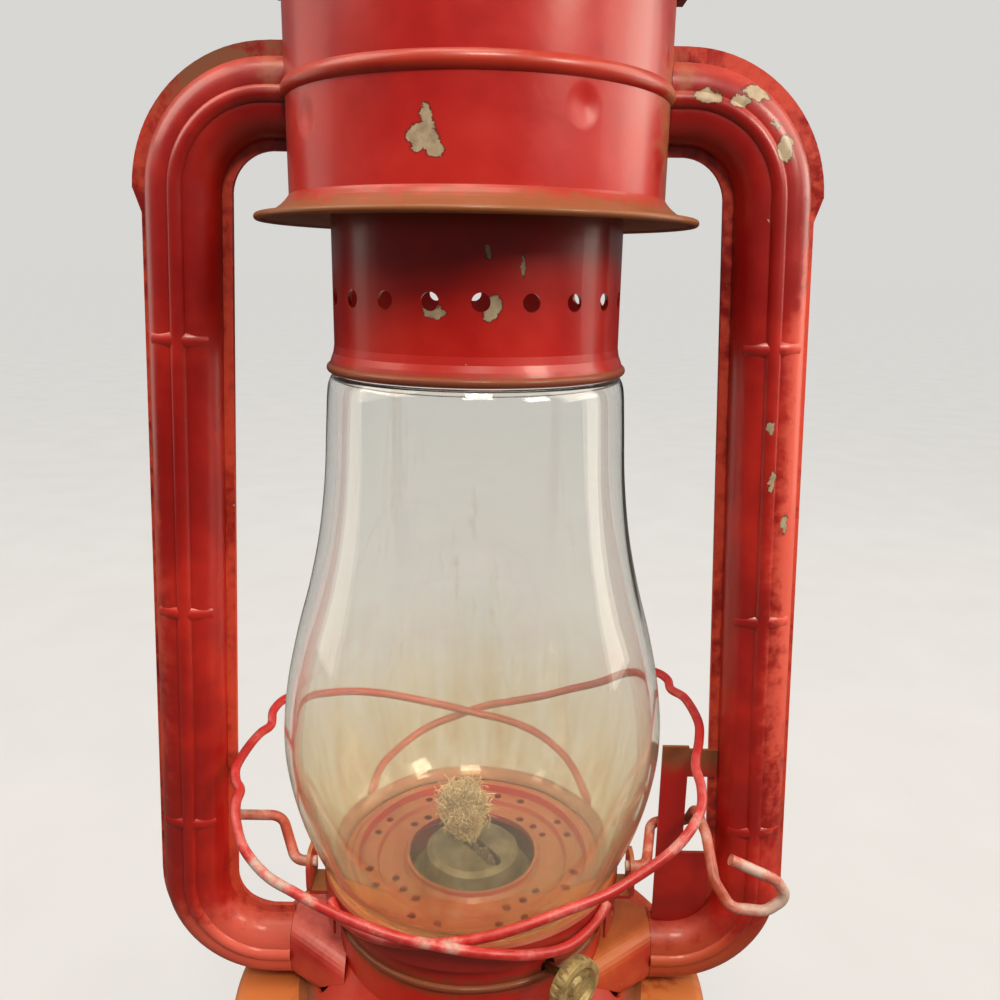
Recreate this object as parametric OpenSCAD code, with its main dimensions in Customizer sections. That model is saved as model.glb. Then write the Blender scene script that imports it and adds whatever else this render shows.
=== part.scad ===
// Cold-blast tubular kerosene lantern with a tall pear globe, a side lift lever and a wire globe guard.
// Millimetres, +Z up, standing on z = 0 with the globe's axis on the Z axis and the front towards -Y.

/* [Sheet metal] */
// Thickness of the pressed tinplate
sheet = 0.8; // [0.5:0.1:1.0]
// Gap left between two soldered pieces
solder_gap = 0.1; // [0.05:0.05:0.2]
// Radial clearance of a pin or shaft that turns in a hole
running_gap = 0.05; // [0.02:0.01:0.1]
// Clearance between pieces that move past each other
moving_gap = 0.35; // [0.3:0.05:0.8]

/* [Fount] */
// Radius of the fount's wall at the foot
fount_foot_r = 82; // [78:0.5:90]
// Inward lean of the fount's wall from the foot to the shoulder
fount_taper = 6; // [3:0.5:9]
// Height of the shoulder's top edge
fount_h = 65; // [55:1:75]
// Rounding of the shoulder
shoulder_r = 4; // [2:0.5:8]
// Rise of the fount's top from the shoulder to the air bowl
fount_rise = 1.4; // [0.5:0.1:3]
// Depth of the recess under the fount
bottom_recess = 4; // [3:0.5:6]

/* [Filler] */
// Distance from the shoulder's edge in to the filler's axis
filler_in = 12.5; // [12:0.5:14]
// Outer radius of the filler neck
filler_r = 8; // [6:0.5:9]
// Height of the neck above the fount's shoulder
filler_h = 9; // [7:0.5:12]
// Wall and top of the filler cap
cap_wall = 1.6; // [1.2:0.1:2.2]
// Number of finger flutes on the cap
cap_flutes = 20; // [12:1:28]

/* [Air bowl] */
// Radius of the bowl's cone at its foot
bowl_foot_r = 53; // [50:0.5:56]
// Height of the bowl's cone above the fount
bowl_cone_h = 18.6; // [15:0.1:22]
// Half width of the flared tube mouth on the bowl
saddle_half = 23; // [16:0.5:26]

/* [Burner] */
// Direction of the wick's flat, turned from the lamp's left-right line
burner_turn = -48; // [-60:1:-30]
// Radius of the burner's drum
burner_r = 18.2; // [16:0.2:18.6]
// Height of the burner's cone above the fount
cone_h = 47.6; // [45:0.1:50]
// Width of the wick
wick_w = 22; // [16:0.5:23]
// Thickness of the wick
wick_t = 3; // [2:0.1:3.4]
// Rise of the wick above the burner's cone
wick_rise = 16; // [4:0.5:18]
// Height of the wick's lower end in the fount
wick_end_z = 22; // [20:1:40]
// Distance from the wick's middle to the raiser shaft
raiser_offset = 6.3; // [5.5:0.1:7]
// Height of the raiser shaft above the fount
raiser_h = 33.1; // [31:0.1:34]
// Radius of the raiser shaft
raiser_r = 1.3; // [1:0.1:1.6]
// Length of the raiser shaft from the wick to the knob's inner face
raiser_reach = 49.5; // [47:0.5:56]
// Radius of the raiser knob
knob_r = 8; // [6:0.5:9]
// Number of teeth on a spur wheel
spur_teeth = 10; // [8:1:14]

/* [Globe] */
// Height of the globe's bottom edge above the fount
globe_seat_h = 45.6; // [44:0.1:48]
// Height of the globe
globe_h = 150.6; // [145:0.2:155]
// Radius of the globe's bottom edge
globe_foot_r = 41.5; // [40:0.1:42]
// Largest radius of the globe
globe_max_r = 56; // [52:0.5:58]
// Radius of the globe's neck
globe_neck_r = 40.6; // [39:0.1:41]
// Thickness of the glass
glass_t = 2.2; // [1.8:0.1:2.6]

/* [Globe plate] */
// Overhang of the plate's skirt past the globe's foot
plate_over = 4.3; // [3.5:0.1:5]
// Radius of the opening round the burner's cone
plate_hole_r = 20.6; // [20.2:0.1:22]
// Depth of the skirt below the globe's foot
skirt_h = 5.5; // [4:0.5:6]
// Depth of the side aprons below the skirt
apron_h = 9; // [6:0.5:10]
// Radius of the plate's air holes
air_hole_r = 1.3; // [0.9:0.1:1.5]

/* [Side tubes] */
// Half width of the tube between its two seams
tube_half = 9.8; // [9:0.1:10.5]
// Depth of one tube half
tube_depth = 8.5; // [7:0.1:9]
// Rounding of the tube's front edges
tube_corner = 7; // [4:0.5:7]
// Width of the inner seam flange
inner_flange = 2.6; // [1.5:0.1:3]
// Width of the outer seam flange
outer_flange = 1.6; // [1:0.1:2]
// Width of the outer seam flange round the top bend
bend_flange = 4; // [2:0.1:5]
// Bend radius of the tube's middle line
tube_bend = 24; // [20:0.5:26]
// Height of the middle line of the upper arms above the globe's rim
upper_arm_h = 67.15; // [65:0.05:70]
// Height of the middle line of the lower arms above the fount
lower_arm_h = 11.7; // [11.4:0.1:13]
// Distance of the tube's middle line from the air chamber's wall, level with the globe's rim
tube_out = 30.5; // [28:0.1:33]
// Outward lean of the tubes going down
tube_lean = 2.86; // [2:0.02:3.2]
// Inner end of the lower arms
arm_end_x = 57; // [56:0.5:60]
// Radius of the stiffening beads pressed in the tubes
bead_r = 2.4; // [1.8:0.1:2.6]
// Rise of those beads above the tube's face
bead_rise = 1.2; // [0.6:0.1:1.4]
// Radius of the cross beads
cross_bead_r = 2.9; // [2.2:0.1:3.2]
// Length over which the bend's wide flange narrows
flange_taper = 6; // [4:0.5:10]
// Places of the cross beads, as shares of the height from the lower to the upper arms
cross_beads = [0.76, 0.455, 0.185]; // [0.15:0.005:0.8]

/* [Air chamber] */
// Radius of the air chamber's wall
drum_r = 48.5; // [47:0.1:49]
// Height of the wall
drum_h = 50; // [46:0.5:54]
// Overhang of the flared lip past the wall
lip_over = 8.6; // [7:0.1:10]
// Height of the lip's edge above the globe's rim
lip_h = 37.25; // [36:0.05:39]
// Height of the lip's flare, from its edge to the wall
lip_flare = 5.6; // [4:0.1:5.8]
// Height of the raised ring above the middle of the upper arms
ring_up = 0.3; // [-2:0.1:3]
// Gap between the flue and the chimney
flue_gap = 1.5; // [1.1:0.1:3]

/* [Crown] */
// Rise of the crown's dome
crown_h = 15; // [12:0.5:18]
// Radius of the vent band
vent_r = 30; // [26:0.5:32]
// Height of the vent band
vent_h = 15; // [12:0.5:18]
// Number of slots in the vent band
vent_slots = 16; // [12:1:18]
// Rise of the top cap
cap_rise = 8; // [6:0.5:10]
// Overhang of the top cap
cap_over = 4; // [2:0.5:5]

/* [Chimney] */
// Step in from the globe's neck to the chimney sleeve
chimney_in = 2.3; // [1.8:0.1:2.6]
// Height of the sleeve above the globe's rim
chimney_h = 53.85; // [51:0.05:57]
// Height of the row of holes above the globe's rim
chimney_hole_h = 18.45; // [15:0.05:22]
// Radius of those holes
chimney_hole_r = 2.2; // [1.6:0.1:2.6]
// Number of holes round the chimney
chimney_holes = 20; // [16:2:24]
// Radius of the rolled rim
rim_r = 1.2; // [0.9:0.1:1.5]
// Number of turns of the chimney spring
spring_turns = 4; // [3:1:5]
// Wire radius of the chimney spring
spring_wire_r = 0.6; // [0.4:0.1:0.8]

/* [Globe guard] */
// Wire radius of the guard
guard_wire_r = 1.4; // [1.2:0.1:1.6]

/* [Lift lever] */
// Wire radius of the lever and the crank
lever_wire_r = 1.6; // [1.3:0.1:1.8]
// Depth of the lever's axis behind the lamp's middle
pivot_y = 5; // [4.5:0.1:5.5]
// Height of the lever's axis above the globe's foot
pivot_h = 7.5; // [6:0.1:9]
// Throw of the crank
crank_throw = 16; // [14:0.5:17]
// Angle of the crank below level when the globe is down
crank_rest = 20; // [16:1:22]
// Bend radius of the lever's finger loop
lever_bend = 5; // [4:0.5:7]
// Bend radius of the right crank
crank_bend = 3.8; // [3:0.1:4]
// Bend radius of the left crank
left_bend = 6; // [4:0.5:7]

/* [Bail] */
// Wire radius of the bail
bail_wire_r = 1.6; // [1.3:0.1:1.9]
// Distance of the bail's legs from the air chamber's wall
bail_out = 5.5; // [5:0.1:9]
// Height of the bail's pivots above the air chamber's wall
bail_up = 3; // [2:0.1:4]
// Height of the straight part of the bail
bail_leg = 52; // [45:1:65]

/* [Hidden] */
$fn = 64;
far = 400;
eps = 0.01;
lap = 0.3;
hair = 0.03;

red = "#b3201b";
brass = "#9c8454";
tin = "#a8a69c";

// Heights and radii that several pieces share, from the fount up
fount_top_r = fount_foot_r - fount_taper;
fount_top_z = fount_h + fount_rise;
filler_y = fount_top_r - filler_in;
bowl_r = globe_foot_r;
bowl_cone_z = fount_top_z + bowl_cone_h;
cone_z = fount_top_z + cone_h;
wick_z = cone_z + wick_rise;
raiser_z = fount_top_z + raiser_h;
lower_z = fount_top_z + lower_arm_h;
globe_z = fount_top_z + globe_seat_h;
skirt_z = globe_z - skirt_h;
plate_r = globe_foot_r + plate_over;
rim_z = globe_z + globe_h + moving_gap + rim_r;

// Heights and radii above the globe
chimney_r = globe_neck_r - chimney_in;
flue_r = chimney_r - sheet - flue_gap;
chimney_top_z = rim_z + chimney_h;
chimney_hole_z = rim_z + chimney_hole_h;
upper_z = rim_z + upper_arm_h;
lip_r = drum_r + lip_over;
lip_z = rim_z + lip_h;
drum_z = lip_z + lip_flare;
drum_top_z = drum_z + drum_h;
ring_z = upper_z + ring_up;
crown_z = drum_top_z + crown_h;
bail_z = drum_top_z + bail_up;
bail_half = drum_r + bail_out;

// Places of the lift
pivot_z = globe_z + pivot_h;
crank_y = pivot_y - crank_throw * cos(crank_rest);
crank_z = pivot_z - crank_throw * sin(crank_rest);
ear_x = plate_r + 2.2;
ear_t = 1.2;
pivot_hole_r = lever_wire_r + running_gap;
bracket_x = ear_x + 10;
bracket_w = 8;
bracket_t = 1.2;
bracket_down = 19.5;
bracket_up = 30.5;
bracket_tab_h = 9;
bracket_ear_x = bracket_x + 3.2;
bracket_ear_half = 10;
cap_base_z = crown_z + vent_h;

// Middle line of the right tube, in the lamp's left-right plane
tube_x = drum_r + tube_out;
lean_out = [cos(tube_lean), sin(tube_lean)];
upper_bend_z = upper_z - tube_bend;
lower_bend_z = lower_z + tube_bend;
upper_bend_x = tube_x - (tube_bend + lean_out[1] * (upper_bend_z - rim_z)) / lean_out[0];
lower_bend_x = tube_x - (tube_bend + lean_out[1] * (lower_bend_z - rim_z)) / lean_out[0];
straight_top = [upper_bend_x, upper_bend_z] + tube_bend * lean_out;
straight_end = [lower_bend_x, lower_bend_z] + tube_bend * lean_out;
straight_len = norm(straight_top - straight_end);
// Distance of the tube's inner wall from the axis at height z
function wall_x(z) = tube_x + (rim_z - z) * tan(tube_lean) - tube_half;

// Unit vector along v
function unit(v) = v / norm(v);
// Points of v in the opposite order
function reverse(v) = [for (i = [len(v) - 1:-1:0]) v[i]];
// Points of an arc about c from angle a to angle b, in n steps
function arc(c, r, a, b, n = 6) = [for (i = [0:n]) c + r * [cos(a + (b - a) * i / n), sin(a + (b - a) * i / n)]];
// Left normal of the step from a to b
function left(a, b) = let (d = unit(b - a)) [-d[1], d[0]];
// Mitred offset direction of a line's point i
function mitre(p, i) =
    i == 0 ? left(p[0], p[1]) :
    i == len(p) - 1 ? left(p[i - 1], p[i]) :
    let (s = left(p[i - 1], p[i]) + left(p[i], p[i + 1])) 2 * s / (s * s);
// Line p moved sideways by t
function beside(p, t) = [for (i = [0:len(p) - 1]) p[i] + t * mitre(p, i)];
// Point at u between the second and third of four points, on a smooth curve
function between(a, b, c, d, u) =
    0.5 * (2 * b + (c - a) * u + (2 * a - 5 * b + 4 * c - d) * u * u + (3 * b - a - 3 * c + d) * u * u * u);
// Smooth line through the points p, with n steps between each two
function smooth(p, n) = concat([for (i = [0:len(p) - 2], k = [0:n - 1])
    between(p[max(i - 1, 0)], p[i], p[i + 1], p[min(i + 2, len(p) - 1)], k / n)], [p[len(p) - 1]]);
// Point at an angle, radius and height
function polar(v) = [v[1] * cos(v[0]), v[1] * sin(v[0]), v[2]];

// Sheet of thickness t on the left of a line, spun about the axis
module spun(p, t = sheet) {
    rotate_extrude() polygon(concat(p, reverse(beside(p, t))));
}

// Straight round rod from a to b
module rod(a, b, r) {
    w = unit(b - a);
    x = unit(cross(w, abs(w[2]) < 0.9 ? [0, 0, 1] : [1, 0, 0]));
    y = cross(w, x);
    multmatrix([[x[0], y[0], w[0], a[0]], [x[1], y[1], w[1], a[1]], [x[2], y[2], w[2], a[2]]])
        cylinder(h = norm(b - a), r = r);
}

// Turn angle of a line at its point i
function turn(p, i) = acos(min(1, unit(p[i] - p[i - 1]) * unit(p[i + 1] - p[i])));
// Length that the bend at point i takes from each side
function trim(p, i, bend) = i == 0 || i == len(p) - 1 ? 0 :
    min(bend * tan(turn(p, i) / 2), 0.46 * norm(p[i] - p[i - 1]), 0.46 * norm(p[i + 1] - p[i]));

// Round elbow at b, between the directions a to b and b to c
module elbow(a, b, c, t, r) {
    u = unit(b - a);
    v = unit(c - b);
    phi = acos(min(1, u * v));
    bend = t / tan(phi / 2);
    m = unit(v - u * (u * v));
    w = cross(u, m);
    o = b - t * u + bend * m;
    multmatrix([[-m[0], u[0], w[0], o[0]], [-m[1], u[1], w[1], o[1]], [-m[2], u[2], w[2], o[2]]])
        rotate_extrude(angle = phi) translate([bend, 0]) circle(r);
}

// Bent wire along the points p, with one bend radius or one for each point; its elbows are a hair thinner and
// lap into the straights
module wire(p, r, bend) {
    last = len(p) - 1;
    cut = [for (i = [0:last]) trim(p, i, is_list(bend) ? bend[i] : bend) - (i == 0 || i == last ? 0 : lap)];
    for (i = [0:last - 1]) {
        u = unit(p[i + 1] - p[i]);
        rod(p[i] + cut[i] * u, p[i + 1] - cut[i + 1] * u, r);
    }
    for (i = [1:last - 1]) elbow(p[i - 1], p[i], p[i + 1], cut[i] + lap, r - hair);
}

// Wire of many sides swept along the points p, for a coil or a long free curve about the axis
module swept_wire(p, r, s) {
    n = len(p) - 1;
    ring = [for (i = [0:n], k = [0:s - 1]) let (
        t = unit(p[min(i + 1, n)] - p[max(i - 1, 0)]),
        o = [p[i][0], p[i][1], 0],
        x = unit(o - (o * t) * t),
        y = cross(x, t),
        b = 360 * k / s
    ) p[i] + r * (cos(b) * x + sin(b) * y)];
    sides = [for (i = [0:n - 1], k = [0:s - 1]) let (j = (k + 1) % s) each [
        [i * s + k, (i + 1) * s + k, (i + 1) * s + j], [i * s + k, (i + 1) * s + j, i * s + j]]];
    ends = [for (k = [1:s - 2]) each [[0, k, k + 1], [n * s, n * s + k + 1, n * s + k]]];
    polyhedron(ring, concat(sides, ends));
}

// Oblong of half length a and radius r along x
module oblong(a, r) {
    square([2 * a, 2 * r], center = true);
    for (s = [-1, 1]) translate([s * a, 0]) circle(r);
}

// Rounded block outline with half sizes a and b
module pad(a, b, r) {
    square([2 * (a - r), 2 * b], center = true);
    square([2 * a, 2 * (b - r)], center = true);
    for (i = [-1, 1], j = [-1, 1]) translate([i * (a - r), j * (b - r)]) circle(r);
}

// Piece carried at the burner's turn
module at_burner() {
    rotate([0, 0, burner_turn]) children();
}

// Fount

module fount_shell() {
    wall = concat(
        [[fount_foot_r, bottom_recess - 1.4]],
        arc([fount_top_r - shoulder_r, fount_h - shoulder_r], shoulder_r, 5, 88),
        [[bowl_foot_r, fount_top_z], [burner_r + 0.4, fount_top_z]]
    );
    color(red) difference() {
        spun(wall);
        translate([0, filler_y, fount_h / 2]) cylinder(h = fount_h, r = filler_r + solder_gap);
    }
}

module fount_bottom() {
    lip = sheet + 0.2;
    outer = fount_foot_r + solder_gap + lip;
    color(red) rotate_extrude() polygon([
        [outer, bottom_recess + 3], [outer, lip], [outer - lip, 0], [fount_foot_r - 3, 0],
        [fount_foot_r - 6, bottom_recess], [0, bottom_recess], [0, bottom_recess + lip],
        [fount_foot_r - 6 + lip / 2, bottom_recess + lip], [fount_foot_r - 3 + lip / 2, lip + 0.2],
        [outer - lip, lip + 0.2], [outer - lip, bottom_recess + 3]
    ]);
}

module filler_neck() {
    color(brass) translate([0, filler_y, fount_h - 4]) difference() {
        cylinder(h = filler_h + 4, r = filler_r);
        translate([0, 0, -1]) cylinder(h = filler_h + 6, r = filler_r - sheet);
    }
}

module filler_gasket() {
    color("#6d5233") translate([0, filler_y, fount_h + filler_h])
        cylinder(h = 1.6, r = filler_r);
}

module filler_cap() {
    under_z = fount_h + filler_h + 1.6;
    skirt_end_z = fount_h + 3;
    bore_r = filler_r + moving_gap;
    color(brass) translate([0, filler_y, 0]) difference() {
        translate([0, 0, skirt_end_z]) cylinder(h = under_z + cap_wall - skirt_end_z, r = bore_r + cap_wall);
        translate([0, 0, fount_h]) cylinder(h = under_z - fount_h, r = bore_r);
        for (i = [0:cap_flutes - 1]) rotate([0, 0, 360 * i / cap_flutes])
            translate([bore_r + cap_wall + 0.35, 0, fount_h]) cylinder(h = 30, r = 0.9);
    }
}

// Air bowl and the flared tube mouths

bowl_line = [
    [bowl_foot_r + 2.5, fount_top_z + sheet], [bowl_foot_r, fount_top_z + sheet],
    [bowl_r, bowl_cone_z], [bowl_r, globe_z - sheet]
];

// Solid that the bowl's cone fills, grown by g
module bowl_cone(g) {
    rise = bowl_cone_z - fount_top_z - sheet;
    translate([0, 0, fount_top_z + sheet]) cylinder(h = rise, r1 = bowl_foot_r + g, r2 = bowl_r + g);
    translate([0, 0, bowl_cone_z - eps]) cylinder(h = 20, r = bowl_r + g);
}

// Inside of a flared mouth, or with t = 0 its outside
module saddle_loft(t) {
    low_half = tube_half - t;
    hull() {
        translate([arm_end_x - (t > 0 ? -eps : 0.3), 0, lower_z]) rotate([90, 0, 90])
            linear_extrude(0.3) pad(tube_depth - t, low_half, tube_corner - t, $fn = 32);
        translate([bowl_r - 4, 0, lower_z - 0.4]) rotate([90, 0, 90])
            linear_extrude(0.3) pad(saddle_half - t, low_half - 0.4, tube_corner - t, $fn = 32);
    }
}

module saddle() {
    difference() {
        saddle_loft(0);
        saddle_loft(sheet);
        bowl_cone(solder_gap);
    }
}

module left_saddle() {
    color(red) mirror([1, 0, 0]) saddle();
}

module right_saddle() {
    color(red) saddle();
}

module air_bowl() {
    color(red) difference() {
        union() {
            spun(bowl_line);
            translate([0, 0, bowl_cone_z + 12]) rotate_extrude() translate([bowl_r, 0]) circle(1.1);
        }
        translate([0, 0, lower_z]) rotate([90, 0, 90])
            linear_extrude(far, center = true) pad(saddle_half - 4, 6, 3);
        at_burner() translate([0, -raiser_offset, raiser_z]) rotate([0, 90, 0]) cylinder(h = far, r = raiser_r + 1);
    }
}

// Side tubes

// Section of one tube half, with its crest bead and both seam flanges, its skin grown by g both ways
module half_section(outer_w, g = 0) {
    difference() {
        union() {
            intersection() {
                pad(tube_half + g, tube_depth + g, tube_corner + g);
                translate([-far / 2, 0]) square([far, far]);
            }
            translate([0, tube_depth + bead_rise - bead_r]) circle(bead_r + g);
            translate([-tube_half - inner_flange - g, 0]) square([tube_half + inner_flange + g, sheet + g]);
            square([tube_half + outer_w + g, sheet + g]);
        }
        pad(tube_half - sheet - g, tube_depth - sheet - g, tube_corner - sheet - g);
    }
}

// Pressed bead across the tube at height z, falling away on both sides
module cross_bead(z) {
    sweep_r = 13.5;
    half_turn = 35;
    ridge = tube_depth + bead_rise - 0.2;
    down = (straight_top[1] - z) / cos(tube_lean);
    translate([0, -down, ridge - sweep_r]) rotate([90, 0, 0]) rotate([0, 0, 90 - half_turn])
        rotate_extrude(angle = 2 * half_turn) translate([sweep_r - cross_bead_r, 0]) circle(cross_bead_r);
}

// Front half of the right tube, from the air chamber round both bends to the saddle; the straights lap over the bends
module tube_half_shell() {
    rotate([90, 0, 0]) {
        difference() {
            translate([drum_r - 4, upper_z, 0]) rotate([0, 0, 90]) rotate([90, 0, 0])
                linear_extrude(upper_bend_x - drum_r + 4 + lap) half_section(bend_flange, hair);
            rotate([-90, 0, 0]) translate([0, 0, upper_z - 30]) cylinder(h = 60, r = drum_r + solder_gap);
        }
        translate([upper_bend_x, upper_bend_z, 0]) rotate([0, 0, tube_lean])
            rotate_extrude(angle = 90 - tube_lean) translate([tube_bend, 0]) half_section(bend_flange);
        translate([straight_top[0], straight_top[1], 0]) rotate([0, 0, tube_lean]) {
            translate([0, lap, 0]) rotate([90, 0, 0]) linear_extrude(straight_len + 2 * lap)
                half_section(outer_flange, hair);
            linear_extrude(sheet + 2 * hair) polygon([
                [tube_half, lap], [tube_half + bend_flange - hair, lap],
                [tube_half + outer_flange, -flange_taper], [tube_half, -flange_taper]
            ]);
            for (share = cross_beads) cross_bead(lower_z + share * (upper_z - lower_z));
        }
        translate([lower_bend_x, lower_bend_z, 0]) rotate([0, 0, -90])
            rotate_extrude(angle = 90 + tube_lean) translate([tube_bend, 0]) half_section(outer_flange);
        translate([lower_bend_x + lap, lower_z, 0]) rotate([0, 0, -90]) rotate([90, 0, 0])
            linear_extrude(lower_bend_x - arm_end_x - solder_gap + lap) half_section(outer_flange, hair);
    }
}

module right_tube_front() {
    color(red) tube_half_shell();
}

module right_tube_back() {
    color(red) mirror([0, 1, 0]) tube_half_shell();
}

module left_tube_front() {
    color(red) mirror([1, 0, 0]) tube_half_shell();
}

module left_tube_back() {
    color(red) difference() {
        mirror([1, 0, 0]) mirror([0, 1, 0]) tube_half_shell();
        translate([-wall_x(pivot_z) - tube_half, pivot_y, pivot_z]) rotate([0, 90, 0])
            cylinder(h = 2 * tube_half, r = pivot_hole_r);
    }
}

// Air chamber and crown

module air_chamber() {
    lip_c = [lip_r + 0.8, lip_z + 12];
    lip_line = arc(lip_c, 12, 210, 264, 8);
    color(red) difference() {
        rotate_extrude() {
            translate([drum_r - sheet, drum_z]) square([sheet, drum_top_z - drum_z]);
            translate([drum_r - bead_r + bead_rise, ring_z]) circle(bead_r);
            polygon(concat(lip_line, reverse(beside(lip_line, sheet))));
            translate([lip_r - 0.6, lip_z + 0.5]) circle(0.9);
        }
        cylinder(h = far, r = drum_r - 3);
        translate([0, 0, ring_z - 8]) cylinder(h = 16, r = drum_r - sheet);
        translate([0, 0, upper_z]) rotate([90, 0, 90])
            linear_extrude(far, center = true) pad(tube_depth - sheet, tube_half - sheet, tube_corner - sheet);
    }
}

module chamber_roof() {
    color(tin) spun([
        [drum_r - sheet - solder_gap, drum_top_z - 5], [drum_r - sheet - solder_gap, drum_top_z - 1],
        [flue_r + solder_gap, drum_top_z - 1]
    ]);
}

module flue() {
    color(tin) translate([0, 0, drum_z - 10]) difference() {
        cylinder(h = crown_z - drum_z + 2, r = flue_r);
        translate([0, 0, -1]) cylinder(h = far, r = flue_r - sheet);
    }
}

module crown() {
    ring_r = drum_r + solder_gap + sheet;
    color(red) spun(concat(
        [[ring_r, drum_top_z - 1.5], [ring_r, drum_top_z + 5]],
        arc([ring_r - 9, drum_top_z + 5], 9, 10, 58, 4),
        [[flue_r + solder_gap + sheet, crown_z - 3]],
        [[vent_r + solder_gap + sheet, crown_z], [vent_r + solder_gap + sheet, crown_z + 2.5]]
    ));
}

module vent_band() {
    color(red) translate([0, 0, crown_z - 1]) difference() {
        cylinder(h = vent_h + 1, r = vent_r);
        translate([0, 0, -1]) cylinder(h = far, r = vent_r - sheet);
        for (i = [0:vent_slots - 1]) rotate([0, 0, 360 * i / vent_slots])
            translate([0, -1.5, 5]) cube([far, 3, vent_h - 7]);
    }
}

module top_cap() {
    brim = vent_r + cap_over;
    sag = brim * brim / (2 * cap_rise);
    ball = sag + cap_rise / 2;
    open = asin(brim / ball);
    under = arc([0, cap_base_z + cap_rise - ball], ball, 90 - open, 90, 10);
    color(red) translate([0, 0, 0.3]) difference() {
        union() {
            spun(under, -sheet);
            translate([0, 0, cap_base_z]) rotate_extrude() translate([brim, 0]) circle(1);
            translate([0, 0, cap_base_z - 3]) cylinder(h = 3 + cap_rise * 0.6, r = vent_r - sheet - solder_gap);
        }
        translate([0, 0, cap_base_z - 4])
            cylinder(h = 4 + cap_rise * 0.6 - sheet, r = vent_r - 2 * sheet - solder_gap);
    }
}

ear_in = drum_r + 2 * solder_gap + 2 * sheet;

module bail_ears() {
    color(red) for (s = [0, 1]) mirror([s, 0, 0]) difference() {
        union() {
            translate([ear_in, 0, bail_z]) rotate([0, 90, 0]) cylinder(h = ear_t, r = 4.6);
            translate([ear_in - 0.9, -4.6, bail_z - 4.6]) cube([ear_t + 0.9, 9.2, 4.6]);
        }
        translate([0, 0, drum_top_z - 3]) cylinder(h = 12, r = ear_in - sheet);
        translate([0, 0, bail_z]) rotate([0, 90, 0]) cylinder(h = far, r = bail_wire_r + running_gap);
    }
}

module bail() {
    top_z = bail_z + bail_leg;
    color(tin) {
        for (s = [-1, 1])
            wire([[s * (ear_in + 0.1), 0, bail_z], [s * bail_half, 0, bail_z], [s * bail_half, 0, top_z]],
                bail_wire_r, bail_wire_r + 0.1);
        translate([0, 0, top_z]) rotate([90, 0, 0]) rotate_extrude(angle = 180)
            translate([bail_half, 0]) circle(bail_wire_r);
    }
}

// Burner

module burner_collar() {
    color(brass) rotate_extrude() polygon([
        [burner_r - 3.4, fount_top_z - 5], [burner_r, fount_top_z - 5], [burner_r, fount_top_z + solder_gap],
        [burner_r + 4, fount_top_z + solder_gap], [burner_r + 4, fount_top_z + 1.2], [burner_r, fount_top_z + 2],
        [burner_r, fount_top_z + 6], [burner_r - 3.4, fount_top_z + 6]
    ]);
}

burner_seat_z = fount_top_z + 6 + solder_gap;
drum_rim_z = raiser_z + 3;

module burner_base() {
    plug_r = burner_r - 3.4 - solder_gap;
    color(brass) difference() {
        union() {
            translate([0, 0, fount_top_z - 4]) cylinder(h = burner_seat_z - fount_top_z + 5, r = plug_r);
            translate([0, 0, burner_seat_z]) cylinder(h = drum_rim_z - burner_seat_z, r = burner_r);
        }
        translate([0, 0, burner_seat_z + 2]) cylinder(h = far, r = burner_r - sheet);
        at_burner() linear_extrude(far) oblong(wick_w / 2 - wick_t / 2 + 0.2, wick_t / 2 + 1.3 + solder_gap);
        for (i = [0:11], k = [0, 1]) rotate([0, 0, 30 * i + 15 * k])
            translate([burner_r - 4, 0, burner_seat_z + 8 + 6 * k]) rotate([0, 90, 0]) cylinder(h = 6, r = 1.5);
        at_burner() translate([0, -raiser_offset, raiser_z]) rotate([0, 90, 0])
            cylinder(h = 60, r = raiser_r + running_gap, center = true);
    }
}

module wick_tube() {
    half = wick_w / 2 - wick_t / 2 + 0.2;
    color(brass) at_burner() translate([0, 0, fount_top_z - 6]) difference() {
        linear_extrude(cone_z - 5 - fount_top_z + 6) oblong(half, wick_t / 2 + 1.3);
        translate([0, 0, -1]) linear_extrude(far) oblong(half, wick_t / 2 + 0.5);
        for (s = [-1, 1]) translate([s * 5.5 - 1.6, -wick_t / 2 - 3, raiser_z - fount_top_z + 1])
            cube([3.2, 3, 10]);
    }
}

module burner_cone() {
    rim = burner_r + moving_gap + sheet;
    seat = drum_rim_z + solder_gap;
    line = [
        [rim, seat - 1.4], [rim, seat + 0.7], [17, seat + 0.7], [16.4, seat + 1.6], [14.6, cone_z - 1.8],
        [13, cone_z - 0.6], [7, cone_z], [0, cone_z]
    ];
    color(tin) difference() {
        spun(line, 0.7);
        at_burner() linear_extrude(far) oblong(wick_w / 2 - wick_t / 2 + 1, wick_t / 2 + 1);
    }
}

module wick() {
    color("#cdb98e") at_burner() translate([0, 0, wick_end_z]) linear_extrude(wick_z - wick_end_z)
        oblong(wick_w / 2 - wick_t / 2, wick_t / 2);
}

// Wick raiser

module at_raiser() {
    at_burner() translate([0, -raiser_offset, raiser_z]) rotate([0, 90, 0]) children();
}

module raiser_shaft() {
    color(brass) at_raiser() translate([0, 0, -burner_r]) cylinder(h = burner_r + raiser_reach, r = raiser_r);
}

module spur_wheels() {
    tip = raiser_offset - wick_t / 2 - moving_gap;
    color(brass) at_raiser() for (s = [-1, 1]) translate([0, 0, s * 5.5]) difference() {
        translate([0, 0, -1]) linear_extrude(2) polygon([for (i = [0:2 * spur_teeth - 1])
            (i % 2 == 0 ? tip : tip - 1.1) * [cos(180 * i / spur_teeth), sin(180 * i / spur_teeth)]]);
        translate([0, 0, -2]) cylinder(h = 4, r = raiser_r + solder_gap / 2);
    }
}

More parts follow.
